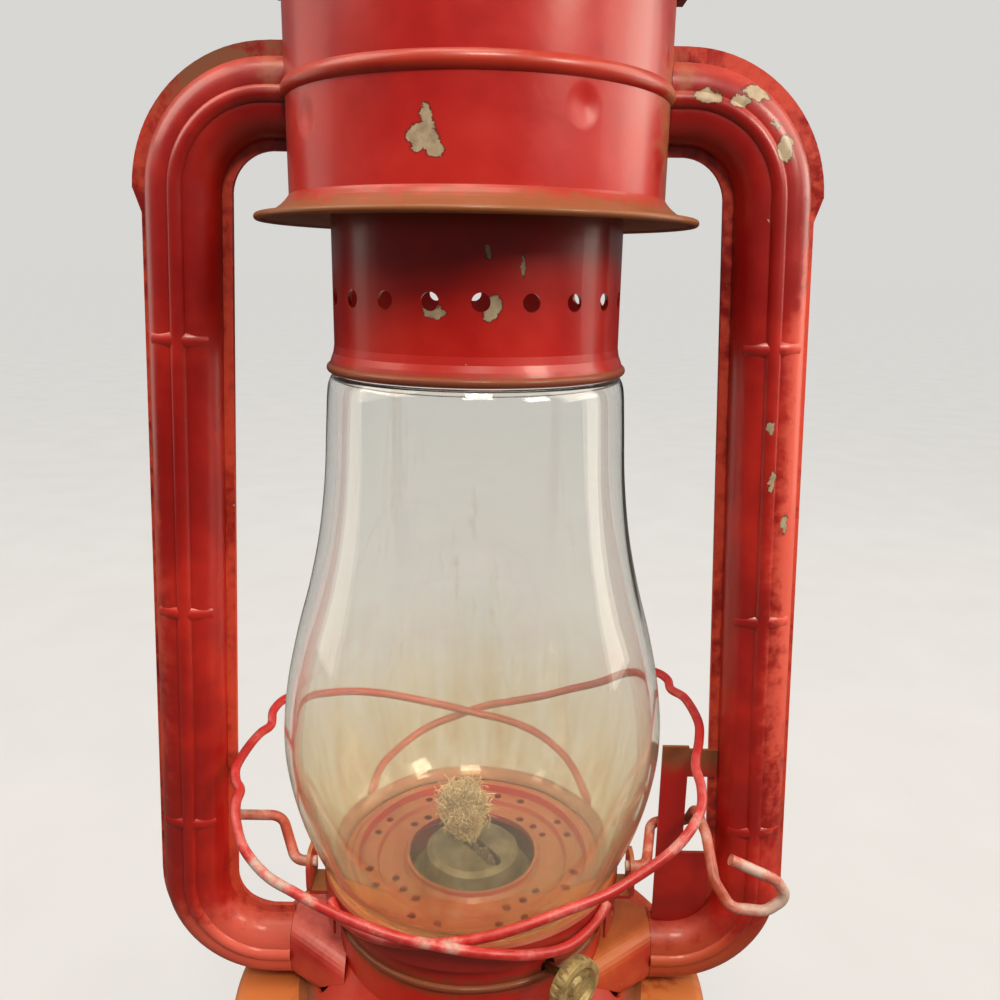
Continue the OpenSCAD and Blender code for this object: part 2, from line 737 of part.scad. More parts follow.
module raiser_knob() {
    color(brass) at_raiser() translate([0, 0, raiser_reach]) difference() {
        rotate_extrude() polygon([
            [0, 0], [3, 0], [3, 0.8], [knob_r - 1.6, 0.8], [knob_r, 0], [knob_r + 0.3, 1.8], [knob_r, 3.6],
            [knob_r - 1.6, 3.8], [knob_r - 2.4, 2.4], [3, 2.2], [2, 3.2], [0, 3.4]
        ]);
        for (i = [0:23]) rotate([0, 0, 15 * i]) translate([knob_r + 0.8, 0, -1]) cylinder(h = 6, r = 0.8);
    }
}

// Chimney

module chimney() {
    line = [
        [chimney_r + 1.6, rim_z], [chimney_r + 0.9, rim_z + 2.4], [chimney_r + 0.3, rim_z + 4],
        [chimney_r, rim_z + 6], [chimney_r, chimney_top_z]
    ];
    color(red) difference() {
        rotate_extrude() {
            polygon(concat(line, reverse(beside(line, sheet))));
            translate([chimney_r + 1, rim_z]) circle(rim_r);
        }
        for (i = [0:chimney_holes - 1]) rotate([0, 0, 360 * (i + 0.167) / chimney_holes])
            translate([chimney_r - 5, 0, chimney_hole_z]) rotate([0, 90, 0]) cylinder(h = 10, r = chimney_hole_r);
    }
}

spring_r = chimney_r - 0.3;
spring_z0 = chimney_top_z + spring_wire_r + 0.1;
spring_z1 = drum_top_z - 1 - sheet - spring_wire_r - 0.1;
spring_steps = 16;
spring_sides = 6;
// Points of the spring's middle line
coil = [for (i = [0:spring_steps * spring_turns]) let (a = 360 * i / spring_steps) [
    spring_r * cos(a), spring_r * sin(a),
    spring_z0 + (spring_z1 - spring_z0) * i / (spring_steps * spring_turns)
]];
// Least gap between two turns, measured from point to point
spring_gap = min([for (i = [spring_steps:len(coil) - 1]) norm(coil[i] - coil[i - spring_steps])])
    - 2 * spring_wire_r;
echo(spring_gap = spring_gap);

module chimney_spring() {
    color(tin) swept_wire(coil, spring_wire_r, spring_sides);
}

// Globe and its carrier

// Radius of the globe at shares of its height
globe_bends = [
    [globe_foot_r, 0], [globe_foot_r + 5.3, 0.05], [globe_max_r - 4.2, 0.133], [globe_max_r - 0.9, 0.226],
    [globe_max_r, 0.305], [globe_max_r - 1.4, 0.402], [globe_max_r - 4.7, 0.505], [globe_neck_r + 6.6, 0.604],
    [globe_neck_r + 3.4, 0.704], [globe_neck_r + 1.4, 0.81], [globe_neck_r + 0.5, 0.914],
    [globe_neck_r - 0.1, 0.973], [globe_neck_r - 1.2, 0.995], [globe_neck_r - 2.2, 1]
];
globe_line = smooth([for (p = globe_bends) [p[0], globe_z + p[1] * globe_h]], 3);

module globe() {
    color([0.85, 0.85, 0.8, 0.35]) difference() {
        spun(globe_line, glass_t);
        translate([0, 0, globe_z - 5]) cylinder(h = 5, r = far);
    }
}

// Lug on the skirt that the crank's pin lifts, on the right
module lift_lug() {
    travel = crank_throw * (1 - cos(crank_rest));
    mid_y = crank_y - travel / 2;
    difference() {
        union() {
            translate([ear_x, 0, 0]) rotate([90, 0, 90]) linear_extrude(ear_t) difference() {
                translate([mid_y, skirt_z + 6]) pad(6, 7, 5);
                translate([mid_y, crank_z]) oblong(travel / 2, lever_wire_r + moving_gap);
                translate([mid_y - 10, skirt_z - 10]) square([20, 10]);
            }
            translate([plate_r - 5, mid_y - 5, skirt_z]) cube([ear_x - plate_r + 5.5, 10, ear_t]);
        }
        translate([0, 0, skirt_z - 1]) cylinder(h = 4, r = plate_r - sheet / 2);
    }
}

module globe_plate() {
    step = 1.4;
    ridge_r = plate_hole_r + 9;
    line = [
        [plate_r, skirt_z - apron_h], [plate_r, globe_z + 1.2], [plate_r - 0.5, globe_z + 2],
        [plate_r - 1.6, globe_z + 2], [globe_foot_r + 1, globe_z], [globe_foot_r - 3.4, globe_z],
        [globe_foot_r - 4.2, globe_z + 0.8], [globe_foot_r - 5.6, globe_z + 0.8],
        [globe_foot_r - 6.4, globe_z - step], [ridge_r + 0.8, globe_z - step], [ridge_r, globe_z - 2 * step],
        [plate_hole_r + 1.2, globe_z - 2 * step], [plate_hole_r, globe_z - 1.6], [plate_hole_r, globe_z]
    ];
    wedge = 100 * [cos(28), sin(28)];
    color(red) difference() {
        union() {
            spun(line);
            for (s = [0, 1]) mirror([s, 0, 0]) lift_lug();
        }
        for (s = [1, -1]) translate([0, 0, skirt_z - apron_h - 1]) linear_extrude(apron_h + 1)
            polygon([[0, 0], [wedge[0], s * wedge[1]], [0, s * 100], [-wedge[0], s * wedge[1]]]);
        for (q = [0:3], k = [-1.5:1]) rotate([0, 0, 45 + 90 * q + 13 * k])
            translate([ridge_r - 4.2, 0, globe_z - 8]) cylinder(h = 12, r = air_hole_r);
        for (q = [0:7], k = [-0.5, 0.5]) rotate([0, 0, 22.5 + 45 * q + 14 * k])
            translate([ridge_r + 3.2, 0, globe_z - 8]) cylinder(h = 12, r = air_hole_r);
        for (a = [-20, 20, 160, 200]) rotate([0, 0, a]) translate([plate_r - 5, 0, skirt_z - apron_h / 2])
            rotate([0, 90, 0]) cylinder(h = 8, r = 1.6);
    }
}

foot_out = plate_r + guard_wire_r + solder_gap - globe_max_r;
guard_steps = 4;
guard_sides = 10;

// Guard wires: the angle of each bend, its distance out from the globe's widest, its height over the globe's foot
left_guard_bends = [
    [32, foot_out, -3], [34, foot_out, 3], [52, -2, 8], [74, 5, 12], [91, 6, 15], [108, 7.5, 20],
    [126, 10, 27], [143, 12, 33.5], [156, 13, 37.2], [163, 13.2, 36.6], [167.5, 11.4, 34.2], [172, 12.6, 34],
    [178, 13.7, 33.4], [187, 14.8, 33.2], [191.5, 14.5, 31.8], [195, 13.1, 30.9], [198.5, 14.4, 29.4],
    [203, 14.9, 26.8], [208, 14.1, 22.4], [215, 10.8, 18.2], [222, 6.5, 15.7], [231, 3, 13.7], [240, 0.1, 11.7],
    [252, -2.7, 9.2], [266, -3.4, 7.9], [277, -3.5, 6.2], [289, -4.7, 2.8], [303, -6.6, -0.8],
    [318, foot_out, -2], [328, foot_out, 0.5]
];
right_guard_bends = [
    [142, foot_out, -3], [141, foot_out, 2.5], [128, -1, 5.5], [109, 7, 9], [91, 9.2, 15], [77, 10, 19],
    [62, 11, 25.5], [46, 12, 35.5], [34, 12.6, 44.2], [27, 12.4, 47], [22, 12.6, 47], [18.5, 11.6, 45.6],
    [12, 12.8, 46], [2, 13.1, 44.4], [-5, 12, 42.4], [-12.5, 10.7, 39.5], [-18, 12.9, 36.6], [-23, 14, 33.6],
    [-29, 13, 30.6], [-35, 10, 26.4], [-43, 4.4, 20.9], [-50, 1, 17.7], [-61, -3, 14.8], [-74, -5.4, 11.4],
    [-87, -6.6, 8.2], [-104, -6.8, 5], [-122, -7.8, 1], [-139, foot_out, -1.5], [-148, foot_out, 0]
];

// Points of a guard wire's middle line
function guard_line(bends) = [for (b = bends) polar([b[0], globe_max_r + b[1], globe_z + b[2]])];

module left_guard() {
    color(red) swept_wire(smooth(guard_line(left_guard_bends), guard_steps), guard_wire_r, guard_sides);
}

module right_guard() {
    color(red) swept_wire(smooth(guard_line(right_guard_bends), guard_steps), guard_wire_r, guard_sides);
}

// Lift lever

module lever_bracket() {
    front = -sheet - solder_gap - bracket_t;
    foot_r = tube_bend - tube_half - solder_gap;
    tab_z = pivot_z + bracket_up - 1;
    tab_x = wall_x(tab_z) - 0.2;
    toe_z = lower_z + 1.9;
    color(red) difference() {
        union() {
            translate([0, front + bracket_t, 0]) rotate([90, 0, 0]) linear_extrude(bracket_t) {
                translate([bracket_x, pivot_z - bracket_down]) square([bracket_w, bracket_down + bracket_up]);
                translate([bracket_x, tab_z - bracket_tab_h]) square([tab_x - bracket_x, bracket_tab_h]);
                translate([bracket_x, lower_bend_z]) square([tab_x - bracket_x, 11]);
                intersection() {
                    translate([lower_bend_x, lower_bend_z]) circle(foot_r);
                    translate([bracket_x, toe_z]) square([tab_x - bracket_x, lower_bend_z - toe_z + 1]);
                }
            }
            translate([bracket_ear_x, 0, 0]) rotate([90, 0, 90]) linear_extrude(bracket_t) {
                translate([front, pivot_z - bracket_ear_half]) square([pivot_y - front, 2 * bracket_ear_half]);
                translate([pivot_y, pivot_z]) pad(6, bracket_ear_half, 5);
            }
        }
        translate([bracket_x - 5, pivot_y, pivot_z]) rotate([0, 90, 0]) cylinder(h = 12, r = pivot_hole_r);
    }
}

crank_in = ear_x - 0.8;
crank_out = ear_x + 5.6;
shaft_in = ear_x + 9;
left_shaft_in = ear_x + 13;
// Bends of the finger lever from its axis in the bracket
lever_bends = [
    [10.5, 0, 0], [11.5, -6, 9], [12.5, -17, 7.5], [13.5, -27, -1.5], [18, -30, -8],
    [28, -30.5, -8.5], [34, -30.5, -3.5], [30, -30.5, 2], [16.5, -30.5, 8.5]
];

module lift_lever() {
    crank = [[crank_in, crank_y, crank_z], [crank_out, crank_y, crank_z], [shaft_in, pivot_y, pivot_z]];
    loop = [for (b = lever_bends) [bracket_x, pivot_y, pivot_z] + b];
    color(red) wire(concat(crank, loop), lever_wire_r,
        concat([for (p = crank) crank_bend], [for (p = loop) lever_bend]));
}

module left_crank() {
    color(red) wire([
        [-crank_in, crank_y, crank_z], [-crank_out, crank_y, crank_z], [-left_shaft_in, pivot_y, pivot_z],
        [-wall_x(pivot_z) - 3, pivot_y, pivot_z]
    ], lever_wire_r, left_bend);
}

fount_shell();
fount_bottom();
filler_neck();
filler_gasket();
filler_cap();
air_bowl();
left_saddle();
right_saddle();
left_tube_front();
left_tube_back();
right_tube_front();
right_tube_back();
air_chamber();
chamber_roof();
flue();
crown();
vent_band();
top_cap();
bail_ears();
bail();
burner_collar();
burner_base();
wick_tube();
burner_cone();
wick();
raiser_shaft();
spur_wheels();
raiser_knob();
chimney();
chimney_spring();
globe_plate();
globe();
left_guard();
right_guard();
lever_bracket();
lift_lever();
left_crank();
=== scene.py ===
"""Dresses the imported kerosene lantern: enamel, glass, worn wire, wick and a plain studio, all in metres."""

import logging
import math
import random
from dataclasses import dataclass
from enum import Enum
from typing import ClassVar

import bmesh
import bpy
from mathutils import Matrix, Vector


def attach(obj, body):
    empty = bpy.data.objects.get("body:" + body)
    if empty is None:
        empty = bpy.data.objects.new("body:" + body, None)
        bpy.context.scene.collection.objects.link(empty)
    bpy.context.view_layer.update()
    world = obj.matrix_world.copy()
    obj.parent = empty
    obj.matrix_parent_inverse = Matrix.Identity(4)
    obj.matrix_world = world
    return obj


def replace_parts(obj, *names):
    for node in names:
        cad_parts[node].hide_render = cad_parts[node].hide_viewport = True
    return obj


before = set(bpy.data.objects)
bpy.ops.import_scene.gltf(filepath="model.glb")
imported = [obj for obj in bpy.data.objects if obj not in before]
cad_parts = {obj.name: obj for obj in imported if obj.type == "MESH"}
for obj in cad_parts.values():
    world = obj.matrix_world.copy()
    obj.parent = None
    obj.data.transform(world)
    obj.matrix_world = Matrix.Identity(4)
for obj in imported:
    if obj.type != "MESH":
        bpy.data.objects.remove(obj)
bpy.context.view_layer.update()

MM = 0.001
# Reach of a stain along an axis on which it never ends, in millimetres
BROAD = 1000.0
# How far a ragged edge strays for each unit of noise, in millimetres
RAGGED = 5.0
# Brown of old oil and rust
PATINA = "#6e3a1c"
Point = tuple[float, float, float]
Span = tuple[float, float]
Socket = bpy.types.NodeSocket
Tree = bpy.types.NodeTree
Inputs = dict[str | int, object]
log = logging.getLogger("lantern")


# Node and colour helpers


def linear(hex_colour: str) -> tuple[float, float, float, float]:
    """Turns an sRGB hex colour to linear RGBA.

    Args:
        hex_colour: Six hex digits, with or without a leading hash.

    Returns:
        Red, green, blue and an alpha of one.
    """
    digits = hex_colour.lstrip("#")
    parts = [int(digits[i : i + 2], 16) / 255 for i in (0, 2, 4)]
    red, green, blue = (c / 12.92 if c <= 0.04045 else ((c + 0.055) / 1.055) ** 2.4 for c in parts)
    return red, green, blue, 1.0


def add(tree: Tree, kind: str, inputs: Inputs | None = None, **settings: object) -> bpy.types.Node:
    """Adds a node to a tree.

    Args:
        tree: Node tree that takes the node.
        kind: Blender's name for the node, without its leading ShaderNode.
        inputs: Socket name or number to a constant, or to the output that feeds it.
        settings: Properties of the node itself.

    Returns:
        The new node.
    """
    node = tree.nodes.new("ShaderNode" + kind)
    for name, value in settings.items():
        setattr(node, name, value)
    for socket, value in (inputs or {}).items():
        if isinstance(value, Socket):
            tree.links.new(value, node.inputs[socket])
        else:
            node.inputs[socket].default_value = value
    return node


def calc(tree: Tree, operation: str, *values: Socket | float, clamp: bool = False) -> Socket:
    """Works out one step of arithmetic on numbers and returns its result."""
    return add(tree, "Math", dict(enumerate(values)), operation=operation, use_clamp=clamp).outputs[0]


def shift(tree: Tree, operation: str, *values: Socket | Point) -> Socket:
    """Works out one step of arithmetic on points and returns the new point."""
    return add(tree, "VectorMath", dict(enumerate(values)), operation=operation).outputs[0]


def remap(
    tree: Tree, value: Socket, source: Span, target: Span = (0.0, 1.0), smooth: bool = False
) -> Socket:
    """Maps one range of numbers to another and stops at its ends.

    Args:
        tree: Node tree that takes the node.
        value: Number to map.
        source: Start and end of the first range.
        target: Start and end of the second range.
        smooth: Whether both ends are eased.

    Returns:
        Socket with the mapped number.
    """
    ends = {"From Min": source[0], "From Max": source[1], "To Min": target[0], "To Max": target[1]}
    kind = "SMOOTHSTEP" if smooth else "LINEAR"
    return add(tree, "MapRange", {"Value": value, **ends}, interpolation_type=kind).outputs[0]


def noise(tree: Tree, point: Socket, size: float, detail: float, roughness: float = 0.5) -> bpy.types.Node:
    """Adds clouds of noise.

    Args:
        tree: Node tree that takes the node.
        point: Place in millimetres.
        size: Size of the clouds in millimetres.
        detail: How many finer layers lie on them.
        roughness: How strong those layers are.

    Returns:
        The noise node.
    """
    inputs = {"Vector": point, "Scale": 1 / size, "Detail": detail, "Roughness": roughness}
    return add(tree, "TexNoise", inputs)


def ramp(tree: Tree, value: Socket, stops: list[tuple[float, str]]) -> Socket:
    """Turns a number to a colour by stops of place and hex colour, and returns the colour."""
    node = add(tree, "ValToRGB", {"Fac": value})
    elements = node.color_ramp.elements
    while len(elements) < len(stops):
        elements.new(0.5)
    for element, (place, colour) in zip(elements, stops, strict=True):
        element.position = place
        element.color = linear(colour)
    return node.outputs["Color"]


def bump(tree: Tree, height: Socket, strength: float, depth: float) -> Socket:
    """Turns a height to a normal, for a relief of some depth in millimetres."""
    inputs = {"Height": height, "Strength": strength, "Distance": depth * MM}
    return add(tree, "Bump", inputs).outputs["Normal"]


def surface(tree: Tree, inputs: Inputs) -> None:
    """Ends a material with one shader that takes these inputs."""
    shader = add(tree, "BsdfPrincipled", inputs)
    add(tree, "OutputMaterial", {"Surface": shader.outputs[0]})


def blank_material(name: str) -> tuple[bpy.types.Material, Tree, Socket]:
    """Makes a material that holds only the place of each point.

    Args:
        name: Name of the material.

    Returns:
        The material, its tree, and each point's place on the object in millimetres.
    """
    material = bpy.data.materials.new(name)
    material.use_nodes = True
    tree = material.node_tree
    tree.nodes.clear()
    place = add(tree, "TexCoord").outputs["Object"]
    return material, tree, shift(tree, "MULTIPLY", place, (1 / MM,) * 3)


def blend(tree: Tree, share: Socket, under: Socket, over: object, kind: str = "RGBA") -> Socket:
    """Mixes two colours or two numbers.

    Args:
        tree: Node tree that takes the nodes.
        share: How much of the second shows.
        under: First colour or number.
        over: Second one, as a socket or a constant.
        kind: Data type of both.

    Returns:
        The mixed colour or number.
    """
    return add(tree, "Mix", {"Factor": share, "A": under, "B": over}, data_type=kind).outputs["Result"]


def nearness(tree: Tree, point: Socket, middle: Point, reach: Point) -> Socket:
    """Measures how far a point is from a spot, where 1 is the spot's edge.

    Args:
        tree: Node tree that takes the nodes.
        point: Place in millimetres.
        middle: Middle of the spot.
        reach: Half sizes of the spot.

    Returns:
        Socket with the distance.
    """
    away = shift(tree, "SUBTRACT", point, middle)
    share = shift(tree, "DIVIDE", away, reach)
    return add(tree, "VectorMath", {0: share}, operation="LENGTH").outputs["Value"]


# Finishes


@dataclass(frozen=True)
class Spot:
    """Egg-shaped region of a surface: a chip, a rubbed place or a dent, in millimetres."""

    at: Point
    size: Point


@dataclass(frozen=True)
class Stain:
    """Patina that thins out from a seam, an edge or a place; on the tubes some are painted light instead.

    Attributes:
        at: Its middle in millimetres.
        reach: Half sizes at which it ends, in millimetres.
        strength: How much of the paint it hides, from 0 to 1.
        colour: Hex colour of the stain.
    """

    at: Point
    reach: Point
    strength: float
    colour: str = PATINA


def level_stain(z: float, reach: float, strength: float, colour: str = PATINA) -> Stain:
    """Stain along an edge at one height."""
    return Stain((0.0, 0.0, z), (BROAD, BROAD, reach), strength, colour)


def nearest_spot(tree: Tree, point: Socket, dirt: Socket, spots: tuple[Spot, ...]) -> Socket:
    """Measures how near a point is to any of some ragged spots.

    Args:
        tree: Node tree that takes the nodes.
        point: Place in millimetres.
        dirt: Colour of a fine noise that roughens the edges.
        spots: Spots to measure to.

    Returns:
        Socket with the least distance, where 1 is a spot's edge.
    """
    centred = shift(tree, "SUBTRACT", dirt, (0.5,) * 3)
    moved = shift(tree, "ADD", point, shift(tree, "MULTIPLY", centred, (RAGGED,) * 3))
    least = nearness(tree, moved, spots[0].at, spots[0].size)
    for spot in spots[1:]:
        least = calc(tree, "MINIMUM", least, nearness(tree, moved, spot.at, spot.size))
    return least


@dataclass(frozen=True)
class BakedEnamel:
    """Red baked enamel on tinplate: deep colour, gloss softened by age, painted shade and grime in corners,
    chips to grey metal.

    Attributes:
        name: Name of the material.
        stains: Brown patina, and on the tubes some painted light.
        chips: Spots of bare metal.
        dents: Pressed-in spots.
        speckle: How many specks of bare metal there are, from 0 to 1.
        dust: How much oily dust lies on the faces that look up, from 0 to 1; on the red tubes and left saddle
            it is partly a painted highlight.
        dust_and_highlight_colour: Hex colour of that dust; pale coral makes it a painted highlight.
        deep: Hex colour where the paint is thick.
        main: Hex colour of most of it.
        bright: Hex colour where it is thin.
        roughness: Middle roughness.
        shade_and_grime: How shallow a corner takes painted shade and grime, from 0 to 1.
    """

    name: str
    stains: tuple[Stain, ...] = ()
    chips: tuple[Spot, ...] = ()
    dents: tuple[Spot, ...] = ()
    speckle: float = 0.25
    dust: float = 0.3
    dust_and_highlight_colour: str = "#a8602f"
    deep: str = "#8e0d09"
    main: str = "#ae130d"
    bright: str = "#bf2415"
    roughness: float = 0.33
    shade_and_grime: float = 0.72

    # Sizes in millimetres: drifts of colour, dirt, specks, corners of painted shade and grime, orange peel
    # and the sheet's waves
    DRIFT: ClassVar[float] = 40.0
    DIRT: ClassVar[float] = 3.2
    SPECK: ClassVar[float] = 2.1
    CORNER: ClassVar[float] = 2.5
    PEEL: ClassVar[float] = 2.4
    WAVE: ClassVar[float] = 25.0
    # Heights of the relief in millimetres
    PEEL_H: ClassVar[float] = 0.035
    WAVE_H: ClassVar[float] = 0.5
    CHIP_H: ClassVar[float] = -0.09
    DENT_H: ClassVar[float] = -0.7
    # Roughness of stains, of dust and of the bare metal
    STAIN_ROUGH: ClassVar[float] = 0.6
    DUST_ROUGH: ClassVar[float] = 0.66
    METAL_ROUGH: ClassVar[float] = 0.5

    def material(self) -> bpy.types.Material:
        """Builds the material.

        Returns:
            The enamel with its stains, chips and dents.
        """
        material, tree, point = blank_material(self.name)
        # Colour and gloss drift, as hand-sprayed paint does
        drift = noise(tree, point, self.DRIFT, 4.0, 0.6).outputs["Fac"]
        colour = ramp(tree, drift, [(0.3, self.deep), (0.5, self.main), (0.72, self.bright)])
        rough = remap(tree, drift, (0.3, 0.7), (self.roughness - 0.06, self.roughness + 0.1))
        # Fine dirt breaks up every mask's edge
        dirt = noise(tree, point, self.DIRT, 6.0, 0.65)
        fine = dirt.outputs["Fac"]
        # Painted shade: corners that little light reaches are darkened by occlusion, along with some grime
        corner = add(tree, "AmbientOcclusion", {"Distance": self.CORNER * MM}, samples=6, only_local=True)
        shade_and_grime = remap(tree, corner.outputs["AO"], (self.shade_and_grime, 0.3), (0.0, 0.8))
        colour = blend(tree, shade_and_grime, colour, linear("#3b150c"))
        for stain in self.stains:
            mask = self._stain_mask(tree, point, fine, drift, stain)
            colour = blend(tree, mask, colour, linear(stain.colour))
            rough = blend(tree, mask, rough, self.STAIN_ROUGH, "FLOAT")
        # Dust lies on faces that look up; where its colour is pale coral it is a painted highlight
        dusty = self._dust_and_highlight_mask(tree, fine, drift)
        colour = blend(tree, dusty, colour, linear(self.dust_and_highlight_colour))
        rough = blend(tree, dusty, rough, self.DUST_ROUGH, "FLOAT")
        bare, colour = self._bare(tree, point, dirt, colour)
        metal = ramp(tree, fine, [(0.35, "#8b7e67"), (0.5, "#a4957a"), (0.65, "#b5a78d")])
        colour = blend(tree, bare, colour, metal)
        rough = blend(tree, bare, rough, self.METAL_ROUGH, "FLOAT")
        surface(tree, {
            "Base Color": colour, "Roughness": rough, "Normal": self._relief(tree, point, bare),
            "Coat Weight": 0.25, "Coat Roughness": 0.16, "IOR": 1.5,
        })
        return material

    @staticmethod
    def _stain_mask(tree: Tree, point: Socket, dirt: Socket, drift: Socket, stain: Stain) -> Socket:
        """Adds the nodes of one stain.

        Args:
            tree: Node tree of the enamel.
            point: Place in millimetres.
            dirt: Fine noise.
            drift: Coarse noise.
            stain: Stain to draw.

        Returns:
            Socket that is 1 where the stain hides the paint.
        """
        near = remap(tree, nearness(tree, point, stain.at, stain.reach), (1.0, 0.0))
        ragged = calc(tree, "MULTIPLY_ADD", dirt, 1.5, -0.75)
        patchy = calc(tree, "MULTIPLY_ADD", drift, 1.6, ragged)
        mixed = calc(tree, "ADD", near, patchy)
        soft = remap(tree, mixed, (0.95, 1.5), (0.0, stain.strength), smooth=True)
        return calc(tree, "MULTIPLY", calc(tree, "MULTIPLY", soft, near), 1.7, clamp=True)

    def _dust_and_highlight_mask(self, tree: Tree, dirt: Socket, drift: Socket) -> Socket:
        """Adds the nodes of the layer on faces that look up: dust, and on some parts a painted highlight.

        Args:
            tree: Node tree of the enamel.
            dirt: Fine noise.
            drift: Coarse noise.

        Returns:
            Socket that is 1 where dust and painted highlight hide the paint.
        """
        normal = add(tree, "TexCoord").outputs["Normal"]
        rise = add(tree, "SeparateXYZ", {0: normal}).outputs["Z"]
        level = remap(tree, rise, (0.25, 0.8), (0.0, self.dust), smooth=True)
        patchy = remap(tree, calc(tree, "ADD", dirt, drift), (0.7, 1.15), (0.45, 1.0))
        return calc(tree, "MULTIPLY", level, patchy)

    def _bare(
        self, tree: Tree, point: Socket, dirt: bpy.types.Node, colour: Socket
    ) -> tuple[Socket, Socket]:
        """Adds the nodes of specks and chips.

        Args:
            tree: Node tree of the enamel.
            point: Place in millimetres.
            dirt: Fine noise.
            colour: Colour of the paint.

        Returns:
            Mask of the bare metal, and the colour darkened round each chip.
        """
        speck = noise(tree, point, self.SPECK, 3.0).outputs["Fac"]
        edge = 0.8 - 0.1 * self.speckle
        bare = remap(tree, speck, (edge, edge + 0.04))
        if not self.chips:
            return bare, colour
        nearest = nearest_spot(tree, point, dirt.outputs["Color"], self.chips)
        rim = remap(tree, nearest, (1.25, 1.0))
        chip = remap(tree, nearest, (1.02, 0.94))
        colour = blend(tree, rim, colour, linear("#5f1a12"))
        return calc(tree, "MAXIMUM", bare, chip), colour

    def _relief(self, tree: Tree, point: Socket, bare: Socket) -> Socket:
        """Adds the relief of orange peel, hand-pressed sheet, chips and dents.

        Args:
            tree: Node tree of the enamel.
            point: Place in millimetres.
            bare: Mask of bare metal.

        Returns:
            Socket with the bumped normal.
        """
        peel = noise(tree, point, self.PEEL, 2.0).outputs["Fac"]
        wave = noise(tree, point, self.WAVE, 1.0).outputs["Fac"]
        height = calc(tree, "MULTIPLY", peel, self.PEEL_H)
        height = calc(tree, "MULTIPLY_ADD", wave, self.WAVE_H, height)
        height = calc(tree, "MULTIPLY_ADD", bare, self.CHIP_H, height)
        for dent in self.dents:
            away = nearness(tree, point, dent.at, dent.size)
            pit = remap(tree, away, (0.0, 1.0), (self.DENT_H, 0.0), smooth=True)
            height = calc(tree, "ADD", height, pit)
        return bump(tree, height, 1.0, 1.0)


@dataclass(frozen=True)
class DullMetal:
    """Bare drawn metal gone dull: clouds of tarnish, a broad soft gloss and fine scratches.

    Attributes:
        name: Name of the material.
        dark: Hex colour in the tarnish.
        light: Hex colour where it is rubbed.
        cloud: Size of the clouds in millimetres.
        roughness: Middle roughness.
        metallic: Share of bare metal, less where dirt covers it.
    """

    name: str
    dark: str
    light: str
    cloud: float = 6.0
    roughness: float = 0.45
    metallic: float = 1.0

    # Size of the scratches and their depth in millimetres
    GRIT: ClassVar[float] = 0.9
    GRIT_H: ClassVar[float] = 0.1

    def material(self) -> bpy.types.Material:
        """Builds the material.

        Returns:
            The tarnished metal.
        """
        material, tree, point = blank_material(self.name)
        cloud = noise(tree, point, self.cloud, 6.0, 0.65).outputs["Fac"]
        tone = ramp(tree, cloud, [(0.36, self.dark), (0.64, self.light)])
        rough = remap(tree, cloud, (0.3, 0.7), (self.roughness + 0.15, self.roughness - 0.1))
        grit = noise(tree, point, self.GRIT, 3.0).outputs["Fac"]
        surface(tree, {
            "Base Color": tone, "Roughness": rough, "Normal": bump(tree, grit, 0.5, self.GRIT_H),
            "Metallic": self.metallic,
        })
        return material


@dataclass(frozen=True)
class WornWire:
    """Painted iron wire rubbed by hands: coral red, chalky pink where thin, bare and pale where rubbed.

    Attributes:
        name: Name of the material.
        wear: How much of the wire has lost its paint, from 0 to 1.
        rubs: Places that are rubbed bare.
        tones: Hex colours from thick paint to thin paint, and of the bare wire.
    """

    name: str
    wear: float = 0.3
    rubs: tuple[Spot, ...] = ()
    tones: tuple[str, ...] = ("#a3201f", "#b13a38", "#b86b64", "#ab968d")

    # Sizes of the worn patches and of their ragged edges, and the depth of the paint, in millimetres
    PATCH: ClassVar[float] = 9.0
    EDGE: ClassVar[float] = 1.5
    EDGE_H: ClassVar[float] = 0.15
    # Wear at which each tone shows fully
    STOPS: ClassVar[tuple[float, ...]] = (0.4, 0.52, 0.63, 0.74)

    def material(self) -> bpy.types.Material:
        """Builds the material.

        Returns:
            The worn paint.
        """
        material, tree, point = blank_material(self.name)
        patch = noise(tree, point, self.PATCH, 5.0, 0.7).outputs["Fac"]
        ragged = noise(tree, point, self.EDGE, 4.0)
        worn = calc(tree, "ADD", patch, 0.24 * (self.wear - 0.5))
        if self.rubs:
            away = nearest_spot(tree, point, ragged.outputs["Color"], self.rubs)
            worn = calc(tree, "ADD", worn, remap(tree, away, (1.8, 0.4), (0.0, 0.26)))
        tone = ramp(tree, worn, list(zip(self.STOPS, self.tones, strict=True)))
        surface(tree, {
            "Base Color": tone, "Roughness": remap(tree, worn, (0.35, 0.7), (0.34, 0.55)),
            "Normal": bump(tree, ragged.outputs["Fac"], 0.6, self.EDGE_H),
            "Coat Weight": 0.15, "Coat Roughness": 0.2,
        })
        return material


